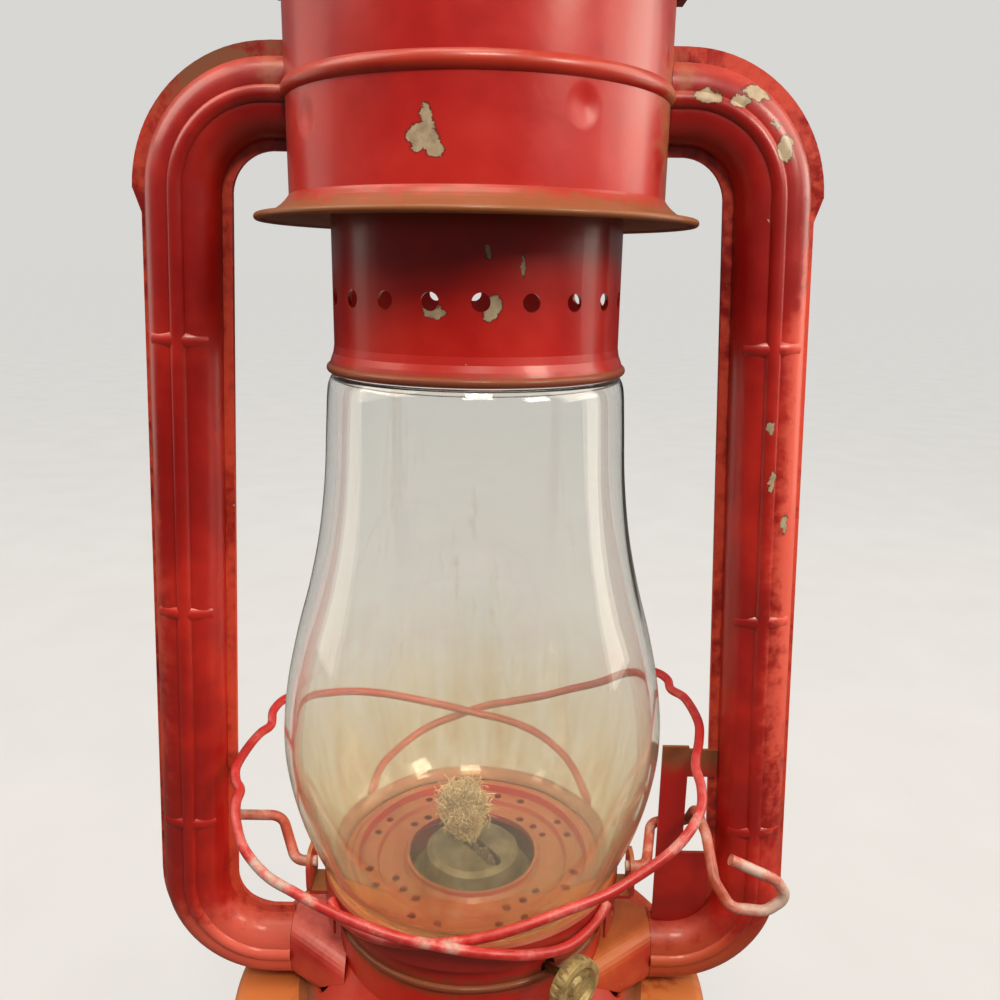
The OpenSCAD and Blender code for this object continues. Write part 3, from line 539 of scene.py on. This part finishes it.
@dataclass(frozen=True)
class BlownGlass:
    """Clear blown soda-lime glass: sharp reflections, and amber dust that thickens towards the foot.

    Attributes:
        name: Name of the material.
        foot: Height of the globe's foot in millimetres.
        dusty: Height over which the dust fades out, in millimetres.
    """

    name: str
    foot: float
    dusty: float

    # Width of the dust's streaks in millimetres, and how much they are drawn out along the height
    STREAK: ClassVar[float] = 6.0
    DRAWN: ClassVar[Point] = (1.0, 1.0, 0.06)

    def material(self) -> bpy.types.Material:
        """Builds the material.

        Returns:
            The glass.
        """
        material, tree, point = blank_material(self.name)
        height = add(tree, "SeparateXYZ", {0: point}).outputs["Z"]
        low = remap(tree, height, (self.foot + self.dusty, self.foot), smooth=True)
        # Dust lies in streaks that run down the glass
        streak = noise(tree, shift(tree, "MULTIPLY", point, self.DRAWN), self.STREAK, 5.0, 0.6).outputs["Fac"]
        film = remap(tree, streak, (0.35, 0.75), (0.45, 0.9))
        # Painted reflections: a few pale streaks reach up to the neck, drawn like thin dust, for the glass's
        # streaky reflections
        marks = remap(tree, streak, (0.62, 0.74), (0.0, 0.35))
        # The dust at the foot and the painted streaks share one mask
        dust = calc(tree, "MAXIMUM", calc(tree, "MULTIPLY", low, film), marks)
        surface(tree, {
            "Base Color": ramp(tree, dust, [(0.0, "#f3f3f0"), (0.5, "#ddd1b4"), (1.0, "#c2a06e")]),
            "Transmission Weight": remap(tree, dust, (0.0, 1.0), (0.99, 0.84)),
            "Roughness": remap(tree, dust, (0.0, 1.0), (0.01, 0.1)), "IOR": 1.5,
        })
        return material


@dataclass(frozen=True)
class WovenCotton:
    """Cotton yarn of a flat wick: dry straw colour, matt and fibrous, charred brown-black at a burnt edge.

    Attributes:
        name: Name of the material.
        char_z: Height of the burnt edge in millimetres.
        char_h: Depth of the charring below it; none leaves the yarn clean.
    """

    name: str
    char_z: float = 0.0
    char_h: float = 0.0

    # Sizes of the mottles and of the yarn, and the yarn's relief, in millimetres
    MOTTLE: ClassVar[float] = 4.0
    YARN: ClassVar[float] = 0.7
    YARN_H: ClassVar[float] = 0.3

    def material(self) -> bpy.types.Material:
        """Builds the material.

        Returns:
            The cotton.
        """
        material, tree, point = blank_material(self.name)
        mottle = noise(tree, point, self.MOTTLE, 5.0).outputs["Fac"]
        tone = ramp(tree, mottle, [(0.3, "#8d774d"), (0.5, "#b49f74"), (0.7, "#d1c29a")])
        if self.char_h:
            height = add(tree, "SeparateXYZ", {0: point}).outputs["Z"]
            burnt = (self.char_z - self.char_h, self.char_z - 0.3 * self.char_h)
            tone = blend(tree, remap(tree, height, burnt, (0.0, 0.95), smooth=True), tone, linear("#2c2015"))
        yarn = noise(tree, point, self.YARN, 2.0).outputs["Fac"]
        surface(tree, {
            "Base Color": tone, "Normal": bump(tree, yarn, 1.0, self.YARN_H), "Roughness": 0.95,
            "Sheen Weight": 0.25,
        })
        return material


# Mesh helpers


class Slot(Enum):
    """Material slot of the record; no piece here is given one."""

    GLASS = "globe_glass"
    WIRE = "worn_wire"
    COTTON = "cotton_wick"


class Body(Enum):
    """Moving body that a new piece rides on."""

    GLOBE = "globe_carrier"
    WICK = "wick"


def new_piece(
    name: str, data: bmesh.types.BMesh, material: bpy.types.Material, body: Body
) -> bpy.types.Object:
    """Turns mesh data into a smooth piece of the lantern that rides on a body.

    Args:
        name: Name of the piece.
        data: Its faces, freed here.
        material: Its finish.
        body: Body that it moves with.

    Returns:
        The new object.
    """
    mesh = bpy.data.meshes.new(name)
    bmesh.ops.recalc_face_normals(data, faces=data.faces)
    for face in data.faces:
        face.smooth = True
    data.to_mesh(mesh)
    data.free()
    mesh.materials.append(material)
    piece = bpy.data.objects.new(name, mesh)
    bpy.context.scene.collection.objects.link(piece)
    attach(piece, body.value)
    log.info("piece %s: %d faces on %s", name, len(mesh.polygons), body.value)
    return piece


def dress(material: bpy.types.Material, *nodes: str) -> None:
    """Gives nodes of the frame their finish."""
    for node in nodes:
        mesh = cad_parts[node].data
        mesh.materials.clear()
        mesh.materials.append(material)
        log.info("node %s: %s", node, material.name)


def smooth_line(points: list[Vector], steps: int) -> list[Vector]:
    """Runs a smooth curve through points.

    Args:
        points: Points that the curve passes.
        steps: Steps between each two of them.

    Returns:
        Points along the curve.
    """
    line = []
    last = len(points) - 1
    for i in range(last):
        a, b, c, d = points[max(i - 1, 0)], points[i], points[i + 1], points[min(i + 2, last)]
        slope = c - a
        bend = 2 * a - 5 * b + 4 * c - d
        twist = 3 * b - a - 3 * c + d
        for k in range(steps):
            u = k / steps
            line.append(0.5 * (2 * b + slope * u + bend * u**2 + twist * u**3))
    return [*line, points[last].copy()]


def sweep(data: bmesh.types.BMesh, line: list[Vector], radii: list[float], sides: int) -> None:
    """Adds a round strand along a line to mesh data.

    Args:
        data: Mesh data that takes the strand.
        line: Points of the middle line, in metres.
        radii: Radius at each point, in metres.
        sides: Number of sides.
    """
    rings = []
    across = None
    for i, place in enumerate(line):
        ahead = (line[min(i + 1, len(line) - 1)] - line[max(i - 1, 0)]).normalized()
        across = across or ahead.orthogonal()
        across = (across - ahead * across.dot(ahead)).normalized()
        other = ahead.cross(across)
        ring = []
        for k in range(sides):
            angle = math.tau * k / sides
            way = math.cos(angle) * across + math.sin(angle) * other
            ring.append(data.verts.new(place + radii[i] * way))
        rings.append(ring)
    for a, b in zip(rings, rings[1:]):
        for k in range(sides):
            j = (k + 1) % sides
            data.faces.new((a[k], b[k], b[j], a[j]))
    data.faces.new(rings[0])
    data.faces.new(reversed(rings[-1]))


def polar(angle: float, radius: float, height: float) -> Vector:
    """Point at an angle in degrees and a radius and height in millimetres, in metres."""
    turn = math.radians(angle)
    return Vector((radius * math.cos(turn), radius * math.sin(turn), height)) * MM


# Sub-assemblies


@dataclass
class Fount:
    """Oil fount with its foot, filler, air bowl and saddles; sizes in millimetres."""

    foot_z: float = 4.0
    shoulder_z: float = 64.0
    shoulder_x: float = 68.0
    bowl_foot_z: float = 67.0
    bowl_bead_z: float = 97.0
    rust: str = "#bb6c34"
    # Pale coral for the left saddle: a painted highlight
    coral: str = "#e88074"

    def dress(self) -> None:
        """Dresses the fount, bowl and saddles in worn enamel and the filler in brass."""
        sides = tuple(
            Stain((x, -26.0, self.shoulder_z), (60.0, 90.0, 30.0), 0.85, self.rust)
            for x in (-self.shoulder_x, self.shoulder_x)
        )
        seat = level_stain(self.foot_z, 18.0, 0.8)
        tank = BakedEnamel(
            "enamel_fount", (*sides, seat), speckle=0.6, dust=0.35, dust_and_highlight_colour=self.rust
        )
        dress(tank.material(), "fount_shell", "fount_bottom")
        soiled = (level_stain(self.bowl_foot_z, 9.0, 0.85), level_stain(self.bowl_bead_z, 6.0, 0.6))
        dress(BakedEnamel("enamel_bowl", soiled, speckle=0.5).material(), "air_bowl")
        foot = level_stain(self.bowl_foot_z, 7.0, 0.6, self.rust)
        # Painted highlight: the left saddle's upward faces and the light end of its paint take pale coral;
        # the right one takes rust dust
        for side, dust, main in (("left", self.coral, "#bb332a"), ("right", self.rust, "#ac3a1e")):
            mouth = BakedEnamel(
                "enamel_saddle_" + side, (foot,),
                speckle=0.4, dust=0.75, dust_and_highlight_colour=dust, main=main, bright=dust,
            )
            dress(mouth.material(), side + "_saddle")
        dress(DullMetal("brass_filler", "#5a4526", "#a58750").material(), "filler_neck", "filler_cap")
        # Cork is clouded as old metal is, but matt
        dress(DullMetal("pressed_cork", "#4b3420", "#8a673f", 2.0, 0.85, 0.0).material(), "filler_gasket")


@dataclass
class SideTubes:
    """Two-half side tubes and their bracket; places in millimetres."""

    front_y: float = -9.0
    foot_z: float = 78.0
    tab_z: float = 150.0
    middle_z: float = 235.0
    joint_x: float = 51.0
    joint_z: float = 337.0
    bend_top: float = 341.0
    deep: str = "#7c0c09"
    red: str = "#92100c"
    # Pale coral on the tubes' upward faces: a painted highlight laid in the dust layer
    coral: str = "#c8503c"

    def dress(self) -> None:
        """Dresses the tubes in enamel that is stained along the seams, chipped on the right bend and
        lightened by painted light on the outer faces.
        """
        seam = Stain((0.0, 0.0, 0.0), (BROAD, 2.0, BROAD), 0.95, "#c8442a")
        crest = Stain((-70.0, 0.0, self.bend_top), (44.0, 2.6, 26.0), 1.0, "#7d4a2a")
        ends = tuple(
            Stain((x, -4.0, self.joint_z), (6.0, 14.0, 14.0), 0.8, "#8f4526")
            for x in (-self.joint_x, self.joint_x)
        )
        # Painted highlight: the left lower arm is lightened to coral; the right one takes an orange-brown
        # stain
        left_foot_highlight = level_stain(self.foot_z, 24.0, 0.75, "#d8604e")
        right_foot = level_stain(self.foot_z, 20.0, 0.5, "#b0502c")
        # Painted light: the outer faces are lightened where side light falls, the right one most
        painted_side_light = (
            Stain((-94.0, -5.0, self.middle_z), (11.0, 10.0, 170.0), 0.6, "#cc4c38"),
            Stain((90.5, -5.0, self.middle_z), (12.0, 12.0, 170.0), 1.0, "#d65644"),
        )
        # Painted highlight in pale coral on the upward faces; painted shade with grime in the corners
        paint = {
            "deep": self.deep, "main": self.red, "dust": 0.45, "dust_and_highlight_colour": self.coral, "shade_and_grime": 0.88,
        }
        marks = (painted_side_light[0], seam, left_foot_highlight, ends[0], crest)
        left = BakedEnamel("enamel_left_tubes", marks, speckle=0.4, **paint)
        dress(left.material(), "left_tube_front", "left_tube_back")
        chips = tuple(Spot((x, self.front_y, z), (wide, 5.0, tall)) for x, z, wide, tall in (
            (56.4, 332.2, 3.6, 1.7), (64.6, 331.0, 2.4, 1.4), (69.4, 333.6, 3.8, 2.4),
            (74.0, 325.5, 1.0, 1.0), (77.2, 320.6, 1.9, 3.2), (79.4, 250.0, 1.1, 1.6),
            (81.0, 235.0, 0.9, 3.2), (86.0, 222.8, 1.0, 2.6),
        ))
        marks = (painted_side_light[1], seam, right_foot, ends[1])
        right = BakedEnamel("enamel_right_tubes", marks, chips, speckle=0.45, **paint)
        dress(right.material(), "right_tube_front", "right_tube_back")
        tab = level_stain(self.tab_z, 14.0, 0.85)
        bracket = BakedEnamel("enamel_bracket", (tab,), speckle=0.6, main=self.red)
        dress(bracket.material(), "lever_bracket")


@dataclass
class AirChamber:
    """Drum, lip, roof, flue and crown; heights in millimetres."""

    lip_z: float = 301.5
    joint_z: float = 325.0
    ring_z: float = 331.6
    top_z: float = 356.0
    vent_z: float = 387.0

    def dress(self) -> None:
        """Dresses the drum with its chip, dents and browned lip, and the pieces above it."""
        soiled = (
            Stain((-50.0, -12.0, self.joint_z), (12.0, 24.0, 40.0), 0.5, "#7c3020"),
            Stain((50.0, -14.0, self.joint_z), (15.0, 26.0, 40.0), 0.8, "#96552f"),
            level_stain(self.lip_z, 7.0, 0.95, "#7f4516"),
            level_stain(self.ring_z, 2.8, 0.15, "#a8562a"),
        )
        chips = (
            Spot((-9.6, -47.6, 320.2), (1.5, 5.0, 2.4)),
            Spot((-10.4, -47.4, 316.6), (3.4, 5.0, 2.4)),
            Spot((-8.0, -47.8, 314.4), (2.0, 5.0, 2.0)),
        )
        dents = (
            Spot((23.8, -42.4, 324.1), (4.6, 6.0, 5.2)),
            Spot((-38.5, -29.6, 323.2), (4.4, 6.0, 5.6)),
        )
        drum = BakedEnamel(
            "enamel_air_chamber", soiled, chips, dents, speckle=0.2, dust=0.45, dust_and_highlight_colour="#7a3e1a"
        )
        dress(drum.material(), "air_chamber")
        soiled = (level_stain(self.vent_z, 14.0, 0.85), level_stain(self.top_z, 4.0, 0.6))
        upper = BakedEnamel("enamel_crown", soiled)
        dress(upper.material(), "crown", "vent_band", "top_cap", "bail_ears")
        soot = DullMetal("tinplate_sooted", "#2b2622", "#6f675b", 12.0, 0.6, 0.7)
        dress(soot.material(), "chamber_roof", "flue", "chimney_spring")
        dress(DullMetal("iron_wire_bail", "#4a3a30", "#8c8378", 5.0, 0.5, 0.8).material(), "bail")


@dataclass
class Chimney:
    """Chimney sleeve above the globe; heights in millimetres."""

    rim_z: float = 264.2
    soot_z: float = 304.0

    def dress(self) -> None:
        """Dresses the sleeve with chips round its holes."""
        soiled = (level_stain(self.rim_z, 3.0, 0.6), level_stain(self.soot_z, 9.0, 0.5))
        chips = (
            Spot((3.5, -38.1, 293.6), (0.8, 4.0, 1.5)),
            Spot((11.6, -36.5, 291.2), (0.7, 4.0, 2.6)),
            Spot((-9.0, -37.4, 280.2), (2.6, 4.0, 1.4)),
            Spot((4.4, -38.1, 281.4), (2.4, 4.0, 2.8)),
        )
        dress(BakedEnamel("enamel_chimney", soiled, chips, speckle=0.35).material(), "chimney")


@dataclass
class GlobeCarrier:
    """Glass globe, perforated plate and the two guard wires; sizes in millimetres."""

    glass_t: float = 2.2
    foot_z: float = 112.0
    max_r: float = 56.0
    wire_r: float = 1.4
    wire_sides: int = 16
    wire_steps: int = 8
    skirt_r: float = 47.3
    glass_sides: int = 160
    dusty_h: float = 80.0
    # Depth of each set of flutes, their number round the globe, their twist along the height and their start
    flutes: tuple[tuple[float, int, float, float], ...] = ((0.05, 9, 0.02, 0.0), (0.04, 17, -0.03, 1.0))
    # Middle depth of the flutes, and the share of it on the outer face
    flute_middle: float = 0.1
    outer_share: float = 0.4
    outline: tuple[Span, ...] = (
        (41.5, 0.0), (46.8, 7.5), (51.8, 20.0), (55.1, 34.0), (56.0, 46.0), (54.6, 60.5),
        (51.3, 76.0), (47.2, 91.0), (44.0, 106.0), (42.0, 122.0), (41.1, 137.6), (40.5, 146.6),
        (39.4, 149.8), (38.4, 150.6),
    )

    def dress(self) -> None:
        """Dresses the plate and builds the glass and the wires."""
        plate = BakedEnamel(
            "enamel_plate", speckle=0.5, dust=0.8, dust_and_highlight_colour="#8a6234", main="#95201a", bright="#a5382a"
        )
        dress(plate.material(), "globe_plate")
        self._glass()
        rubs = tuple(Spot(at, (2.4, 2.4, 2.4)) for at in (
            (-68.1, 15.0, 145.1), (-58.0, -36.2, 131.6), (-54.0, -38.5, 129.9), (-50.0, -40.4, 128.6),
            (-42.0, -44.0, 126.8), (-10.0, -51.6, 120.6), (-4.0, -52.2, 119.9), (66.4, 17.0, 158.2),
            (62.6, -31.6, 143.8), (57.0, -36.0, 140.2),
        ))
        wire = WornWire("iron_wire_guard", 0.3, rubs).material()
        self._wire("guard_wire_left", "left_guard", self._left_bends(), wire)
        self._wire("guard_wire_right", "right_guard", self._right_bends(), wire)

    def _glass(self) -> None:
        """Spins the globe as a closed wall whose faces are faintly fluted, as blown glass is."""
        sides = self.glass_sides
        outer = smooth_line([Vector((r, self.foot_z + z, 0)) for r, z in self.outline], 6)
        walls = []
        count = len(outer)
        for i, spot in enumerate(outer):
            ahead = (outer[min(i + 1, count - 1)] - outer[max(i - 1, 0)]).normalized()
            walls.append((spot.copy(), spot + Vector((-ahead.y, ahead.x, 0)) * self.glass_t))
        walls[0][1].y = walls[0][0].y
        path = [wall[0] for wall in walls] + [wall[1] for wall in reversed(walls)]
        data = bmesh.new()
        rings = []
        for i, spot in enumerate(path):
            share = 1.0 if i >= count else self.outer_share
            ring = []
            for k in range(sides):
                turn = math.tau * k / sides
                waves = [deep * math.sin(n * turn + rise * spot.y + at) for deep, n, rise, at in self.flutes]
                radius = spot.x + share * (sum(waves) - self.flute_middle)
                ring.append(data.verts.new(polar(math.degrees(turn), radius, spot.y)))
            rings.append(ring)
        for a, b in zip(rings, [*rings[1:], rings[0]]):
            for k in range(sides):
                j = (k + 1) % sides
                data.faces.new((a[k], a[j], b[j], b[k]))
        glass = BlownGlass("glass_blown", self.foot_z, self.dusty_h).material()
        piece = new_piece("globe_glass", data, glass, Body.GLOBE)
        piece.visible_shadow = False
        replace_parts(piece, "globe")

    def _wire(self, name: str, node: str, bends: list[Point], material: bpy.types.Material) -> None:
        """Builds one guard wire in the place of its node.

        Args:
            name: Name of the piece.
            node: Node that it replaces.
            bends: Angle of each bend, its distance out from the globe's widest and its height over the foot.
            material: Finish of the wire.
        """
        spots = [polar(angle, self.max_r + out, self.foot_z + up) for angle, out, up in bends]
        line = smooth_line(spots, self.wire_steps)
        data = bmesh.new()
        sweep(data, line, [self.wire_r * MM] * len(line), self.wire_sides)
        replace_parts(new_piece(name, data, material, Body.GLOBE), node)

    def _left_bends(self) -> list[Point]:
        """Bends of the wire that swings out to the left."""
        foot = self.skirt_r - self.max_r
        return [
            (32, foot, -3), (34, foot, 3), (52, -2, 8), (74, 5, 12), (91, 6, 15), (108, 7.5, 20),
            (126, 10, 27), (143, 12, 33.5), (156, 13, 37.2), (163, 13.2, 36.6), (167.5, 11.4, 34.2),
            (172, 12.6, 34), (178, 13.7, 33.4), (187, 14.8, 33.2), (191.5, 14.5, 31.8),
            (195, 13.1, 30.9), (198.5, 14.4, 29.4), (203, 14.9, 26.8), (208, 14.1, 22.4),
            (215, 10.8, 18.2), (222, 6.5, 15.7), (231, 3, 13.7), (240, 0.1, 11.7), (252, -2.7, 9.2),
            (266, -3.4, 7.9), (277, -3.5, 6.2), (289, -4.7, 2.8), (303, -6.6, -0.8),
            (318, foot, -2), (328, foot, 0.5),
        ]

    def _right_bends(self) -> list[Point]:
        """Bends of the wire that swings out to the right."""
        foot = self.skirt_r - self.max_r
        return [
            (142, foot, -3), (141, foot, 2.5), (128, -1, 5.5), (109, 7, 9), (91, 9.2, 15),
            (77, 10, 19), (62, 11, 25.5), (46, 12, 35.5), (34, 12.6, 44.2), (27, 12.4, 47),
            (22, 12.6, 47), (18.5, 11.6, 45.6), (12, 12.8, 46), (2, 13.1, 44.4), (-5, 12, 42.4),
            (-12.5, 10.7, 39.5), (-18, 12.9, 36.6), (-23, 14, 33.6), (-29, 13, 30.6),
            (-35, 10, 26.4), (-43, 4.4, 20.9), (-50, 1, 17.7), (-61, -3, 14.8), (-74, -5.4, 11.4),
            (-87, -6.6, 8.2), (-104, -6.8, 5), (-122, -7.8, 1), (-139, foot, -1.5), (-148, foot, 0),
        ]


@dataclass
class LiftGear:
    """Lift lever and the crank across from it; places in millimetres."""

    loop_y: float = -25.5
    pin_x: float = 47.5
    pin_y: float = -10.0
    pin_z: float = 114.0
    wear: float = 0.55
    tones: tuple[str, ...] = ("#98412e", "#ad5542", "#b67a6e", "#b9a196")

    def dress(self) -> None:
        """Dresses both wires in worn paint, rubbed most where fingers pull."""
        rubs = (
            Spot((88.0, self.loop_y, 113.5), (8.0, 4.0, 4.0)),
            Spot((92.0, self.loop_y, 118.0), (5.0, 4.0, 5.0)),
            Spot((80.0, self.loop_y, 125.0), (7.0, 4.0, 4.0)),
            Spot((self.pin_x, self.pin_y, self.pin_z), (3.0, 3.0, 3.0)),
            Spot((-self.pin_x, self.pin_y, self.pin_z), (3.0, 3.0, 3.0)),
            Spot((-74.0, 5.0, 119.5), (6.0, 3.0, 3.0)),
        )
        wire = WornWire("iron_wire_lever", self.wear, rubs, self.tones)
        dress(wire.material(), "lift_lever", "left_crank")


@dataclass
class Burner:
    """Burner, wick and raiser; sizes in millimetres and degrees."""

    turn: float = -48.0
    wick_w: float = 22.0
    wick_t: float = 3.0
    wick_foot: float = 22.0
    burnt_z: float = 115.6
    char_h: float = 9.0
    ribs: int = 9
    rib_steps: int = 40
    rib_waves: Span = (0.88, 0.97)
    burnt_share: float = 0.55
    burnt_jag: Span = (-1.6, 0.4)
    tuft_at: Point = (-4.6, 0.3, 124.4)
    tuft_r: Point = (9.6, 8.6, 9.2)
    strands: int = 760
    strand_r: Span = (0.13, 0.24)
    root_w: float = 4.5
    root_t: float = 1.1
    root_sink: float = 1.5

    def dress(self) -> None:
        """Dresses the metal and builds the burnt wick with its frayed tuft."""
        brass = DullMetal("brass_burner", "#4e3d22", "#957a48")
        dress(brass.material(), "burner_collar", "burner_base", "wick_tube", "raiser_shaft", "spur_wheels")
        dress(DullMetal("brass_knob", "#7d6c44", "#bfab76", 3.0, 0.55, 0.5).material(), "raiser_knob")
        dress(DullMetal("tinplate_cone", "#524b36", "#7a735b", 7.0, 0.5, 0.45).material(), "burner_cone")
        self._strip()
        self._tuft()

    def _strip(self) -> None:
        """Builds the flat wick as woven ribs with an uneven burnt edge."""
        chance = random.Random(3)
        turn = Matrix.Rotation(math.radians(self.turn), 4, "Z")
        data = bmesh.new()
        radius = self.wick_t / 2
        half = self.wick_w / 2 - radius
        for i in range(self.ribs):
            x = -half + 2 * half * i / (self.ribs - 1)
            top = self.burnt_z + chance.uniform(*self.burnt_jag)
            steps = self.rib_steps
            heights = [self.wick_foot + (top - self.wick_foot) * k / steps for k in range(steps + 1)]
            line = [turn @ Vector((x, 0.0, height)) * MM for height in heights]
            radii = [radius * self.rib_waves[k % 2] * MM for k in range(steps + 1)]
            radii[-1] *= self.burnt_share
            sweep(data, line, radii, 10)
        cotton = WovenCotton("cotton_burnt", self.burnt_z, self.char_h).material()
        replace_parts(new_piece("wick_strip", data, cotton, Body.WICK), "wick")

    def _tuft(self) -> None:
        """Builds the puff of loose yarn that stands on the rear half of the wick."""
        chance = random.Random(7)
        turn = Matrix.Rotation(math.radians(self.turn), 4, "Z")
        data = bmesh.new()
        middle = Vector(self.tuft_at)
        for _ in range(self.strands):
            along = middle.x + chance.uniform(-self.root_w, self.root_w)
            across = chance.uniform(-self.root_t, self.root_t)
            root = Vector((along, across, self.burnt_z - self.root_sink))
            way = Vector((chance.gauss(0, 1), chance.gauss(0, 1), chance.gauss(0.35, 1))).normalized()
            far = chance.uniform(0.35, 1.0) ** 0.6
            tip = middle + Vector([w * r * far for w, r in zip(way, self.tuft_r)])
            knee = root.lerp(tip, 0.5) + Vector([chance.gauss(0, 1.5) for _ in range(3)])
            curl = tip + Vector([chance.gauss(0, 1.8) for _ in range(3)])
            line = smooth_line([turn @ p * MM for p in (root, knee, tip, curl)], 4)
            thick = chance.uniform(*self.strand_r) * MM
            count = len(line)
            sweep(data, line, [thick * (1.0 - 0.5 * i / count) for i in range(count)], 5)
        new_piece("wick_fray", data, WovenCotton("cotton_tuft").material(), Body.WICK)


# Studio


@dataclass(frozen=True)
class Softbox:
    """Square lamp; place and side in metres, power in watts."""

    name: str
    at: Point
    side: float
    power: float


@dataclass
class Studio:
    """Camera, lights, pale floor and pale room; sizes in metres and degrees."""

    camera_at: Point = (0.00707, -0.24792, 0.290)
    pitch_down: float = 14.42
    roll: float = 0.923
    lens: float = 32.276
    sensor: float = 36.0
    floor_radius: float = 60.0
    aim: Point = (0.0, 0.0, 0.24)
    # Grain of the paper in millimetres
    grain: float = 60.0
    # The floor and the room look equally pale, but light the lantern only a little
    papers: tuple[str, str] = ("#e4e2de", "#e8e6e2")
    shade: str = "#5c5956"
    floor_glow: float = 0.85
    room: str = "#f2f1ee"
    room_light: float = 0.18
    room_glow: float = 0.77
    warm: str = "#fff0de"
    lamps: tuple[Softbox, ...] = (
        Softbox("front_softbox", (0.06, -0.78, 1.1), 0.3, 8.2),
        Softbox("right_softbox", (0.75, -0.62, 0.78), 0.3, 6.5),
        Softbox("right_overhead", (0.85, 0.05, 0.72), 0.7, 4.8),
        Softbox("left_overhead", (-0.75, -0.12, 0.95), 0.7, 6.8),
        Softbox("right_strip", (0.95, 0.3, 0.32), 0.6, 2.2),
        Softbox("left_strip", (-0.95, 0.28, 0.34), 0.6, 1.2),
        Softbox("top_softbox", (-0.1, -0.12, 1.3), 0.5, 6.0),
    )

    def build(self) -> None:
        """Sets the camera, the lights and the stage."""
        self._camera()
        self._stage()
        self._lights()
        self._world()
        bpy.context.scene.view_settings.view_transform = "Standard"

    def _camera(self) -> None:
        """Places the camera at the photograph's viewpoint."""
        data = bpy.data.cameras.new("camera")
        data.sensor_width = self.sensor
        data.lens = self.lens
        data.clip_start = 0.01
        camera = bpy.data.objects.new("camera", data)
        tilt = Matrix.Rotation(math.radians(90 - self.pitch_down), 4, "X")
        turn = Matrix.Rotation(math.radians(self.roll), 4, "Z")
        camera.matrix_world = Matrix.Translation(self.camera_at) @ tilt @ turn
        bpy.context.scene.collection.objects.link(camera)
        bpy.context.scene.camera = camera

    def _seen(self, tree: Tree) -> Socket:
        """Adds the mask of what the camera sees, straight or through the glass, and returns it."""
        path = add(tree, "LightPath").outputs
        return calc(tree, "MAXIMUM", path["Is Camera Ray"], path["Is Transmission Ray"])

    def _stage(self) -> None:
        """Builds the wide floor, as pale to the eye as the room behind it; it bounces little light."""
        material, tree, point = blank_material("paper_backdrop")
        grain = noise(tree, point, self.grain, 2.0).outputs["Fac"]
        surface(tree, {
            "Base Color": linear(self.shade), "Roughness": 0.9, "Specular IOR Level": 0.0,
            "Emission Color": ramp(tree, grain, [(0.3, self.papers[0]), (0.7, self.papers[1])]),
            "Emission Strength": calc(tree, "MULTIPLY", self._seen(tree), self.floor_glow),
        })
        mesh = bpy.data.meshes.new("backdrop")
        data = bmesh.new()
        bmesh.ops.create_circle(data, cap_ends=True, segments=96, radius=self.floor_radius)
        data.to_mesh(mesh)
        data.free()
        mesh.materials.append(material)
        backdrop = bpy.data.objects.new("backdrop", mesh)
        bpy.context.scene.collection.objects.link(backdrop)

    def _lights(self) -> None:
        """Hangs the softboxes."""
        for box in self.lamps:
            data = bpy.data.lights.new(box.name, "AREA")
            data.size = box.side
            data.energy = box.power
            data.color = linear(self.warm)[:3]
            lamp = bpy.data.objects.new(box.name, data)
            lamp.location = box.at
            way = Vector(self.aim) - Vector(box.at)
            lamp.rotation_euler = way.to_track_quat("-Z", "Y").to_euler()
            bpy.context.scene.collection.objects.link(lamp)

    def _world(self) -> None:
        """Sets the room's light: pale to the eye and dim as a light."""
        world = bpy.data.worlds.new("room_light")
        world.use_nodes = True
        tree = world.node_tree
        tree.nodes.clear()
        strength = remap(tree, self._seen(tree), (0.0, 1.0), (self.room_light, self.room_glow))
        glow = add(tree, "Background", {"Color": linear(self.room), "Strength": strength})
        add(tree, "OutputWorld", {"Surface": glow.outputs[0]})
        bpy.context.scene.world = world


def main() -> None:
    """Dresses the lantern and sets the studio."""
    logging.basicConfig(level=logging.INFO, format="%(name)s %(message)s")
    assemblies = (Fount(), SideTubes(), AirChamber(), Chimney(), GlobeCarrier(), LiftGear(), Burner())
    for assembly in assemblies:
        assembly.dress()
    Studio().build()
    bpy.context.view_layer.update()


if __name__ == "__main__":
    main()
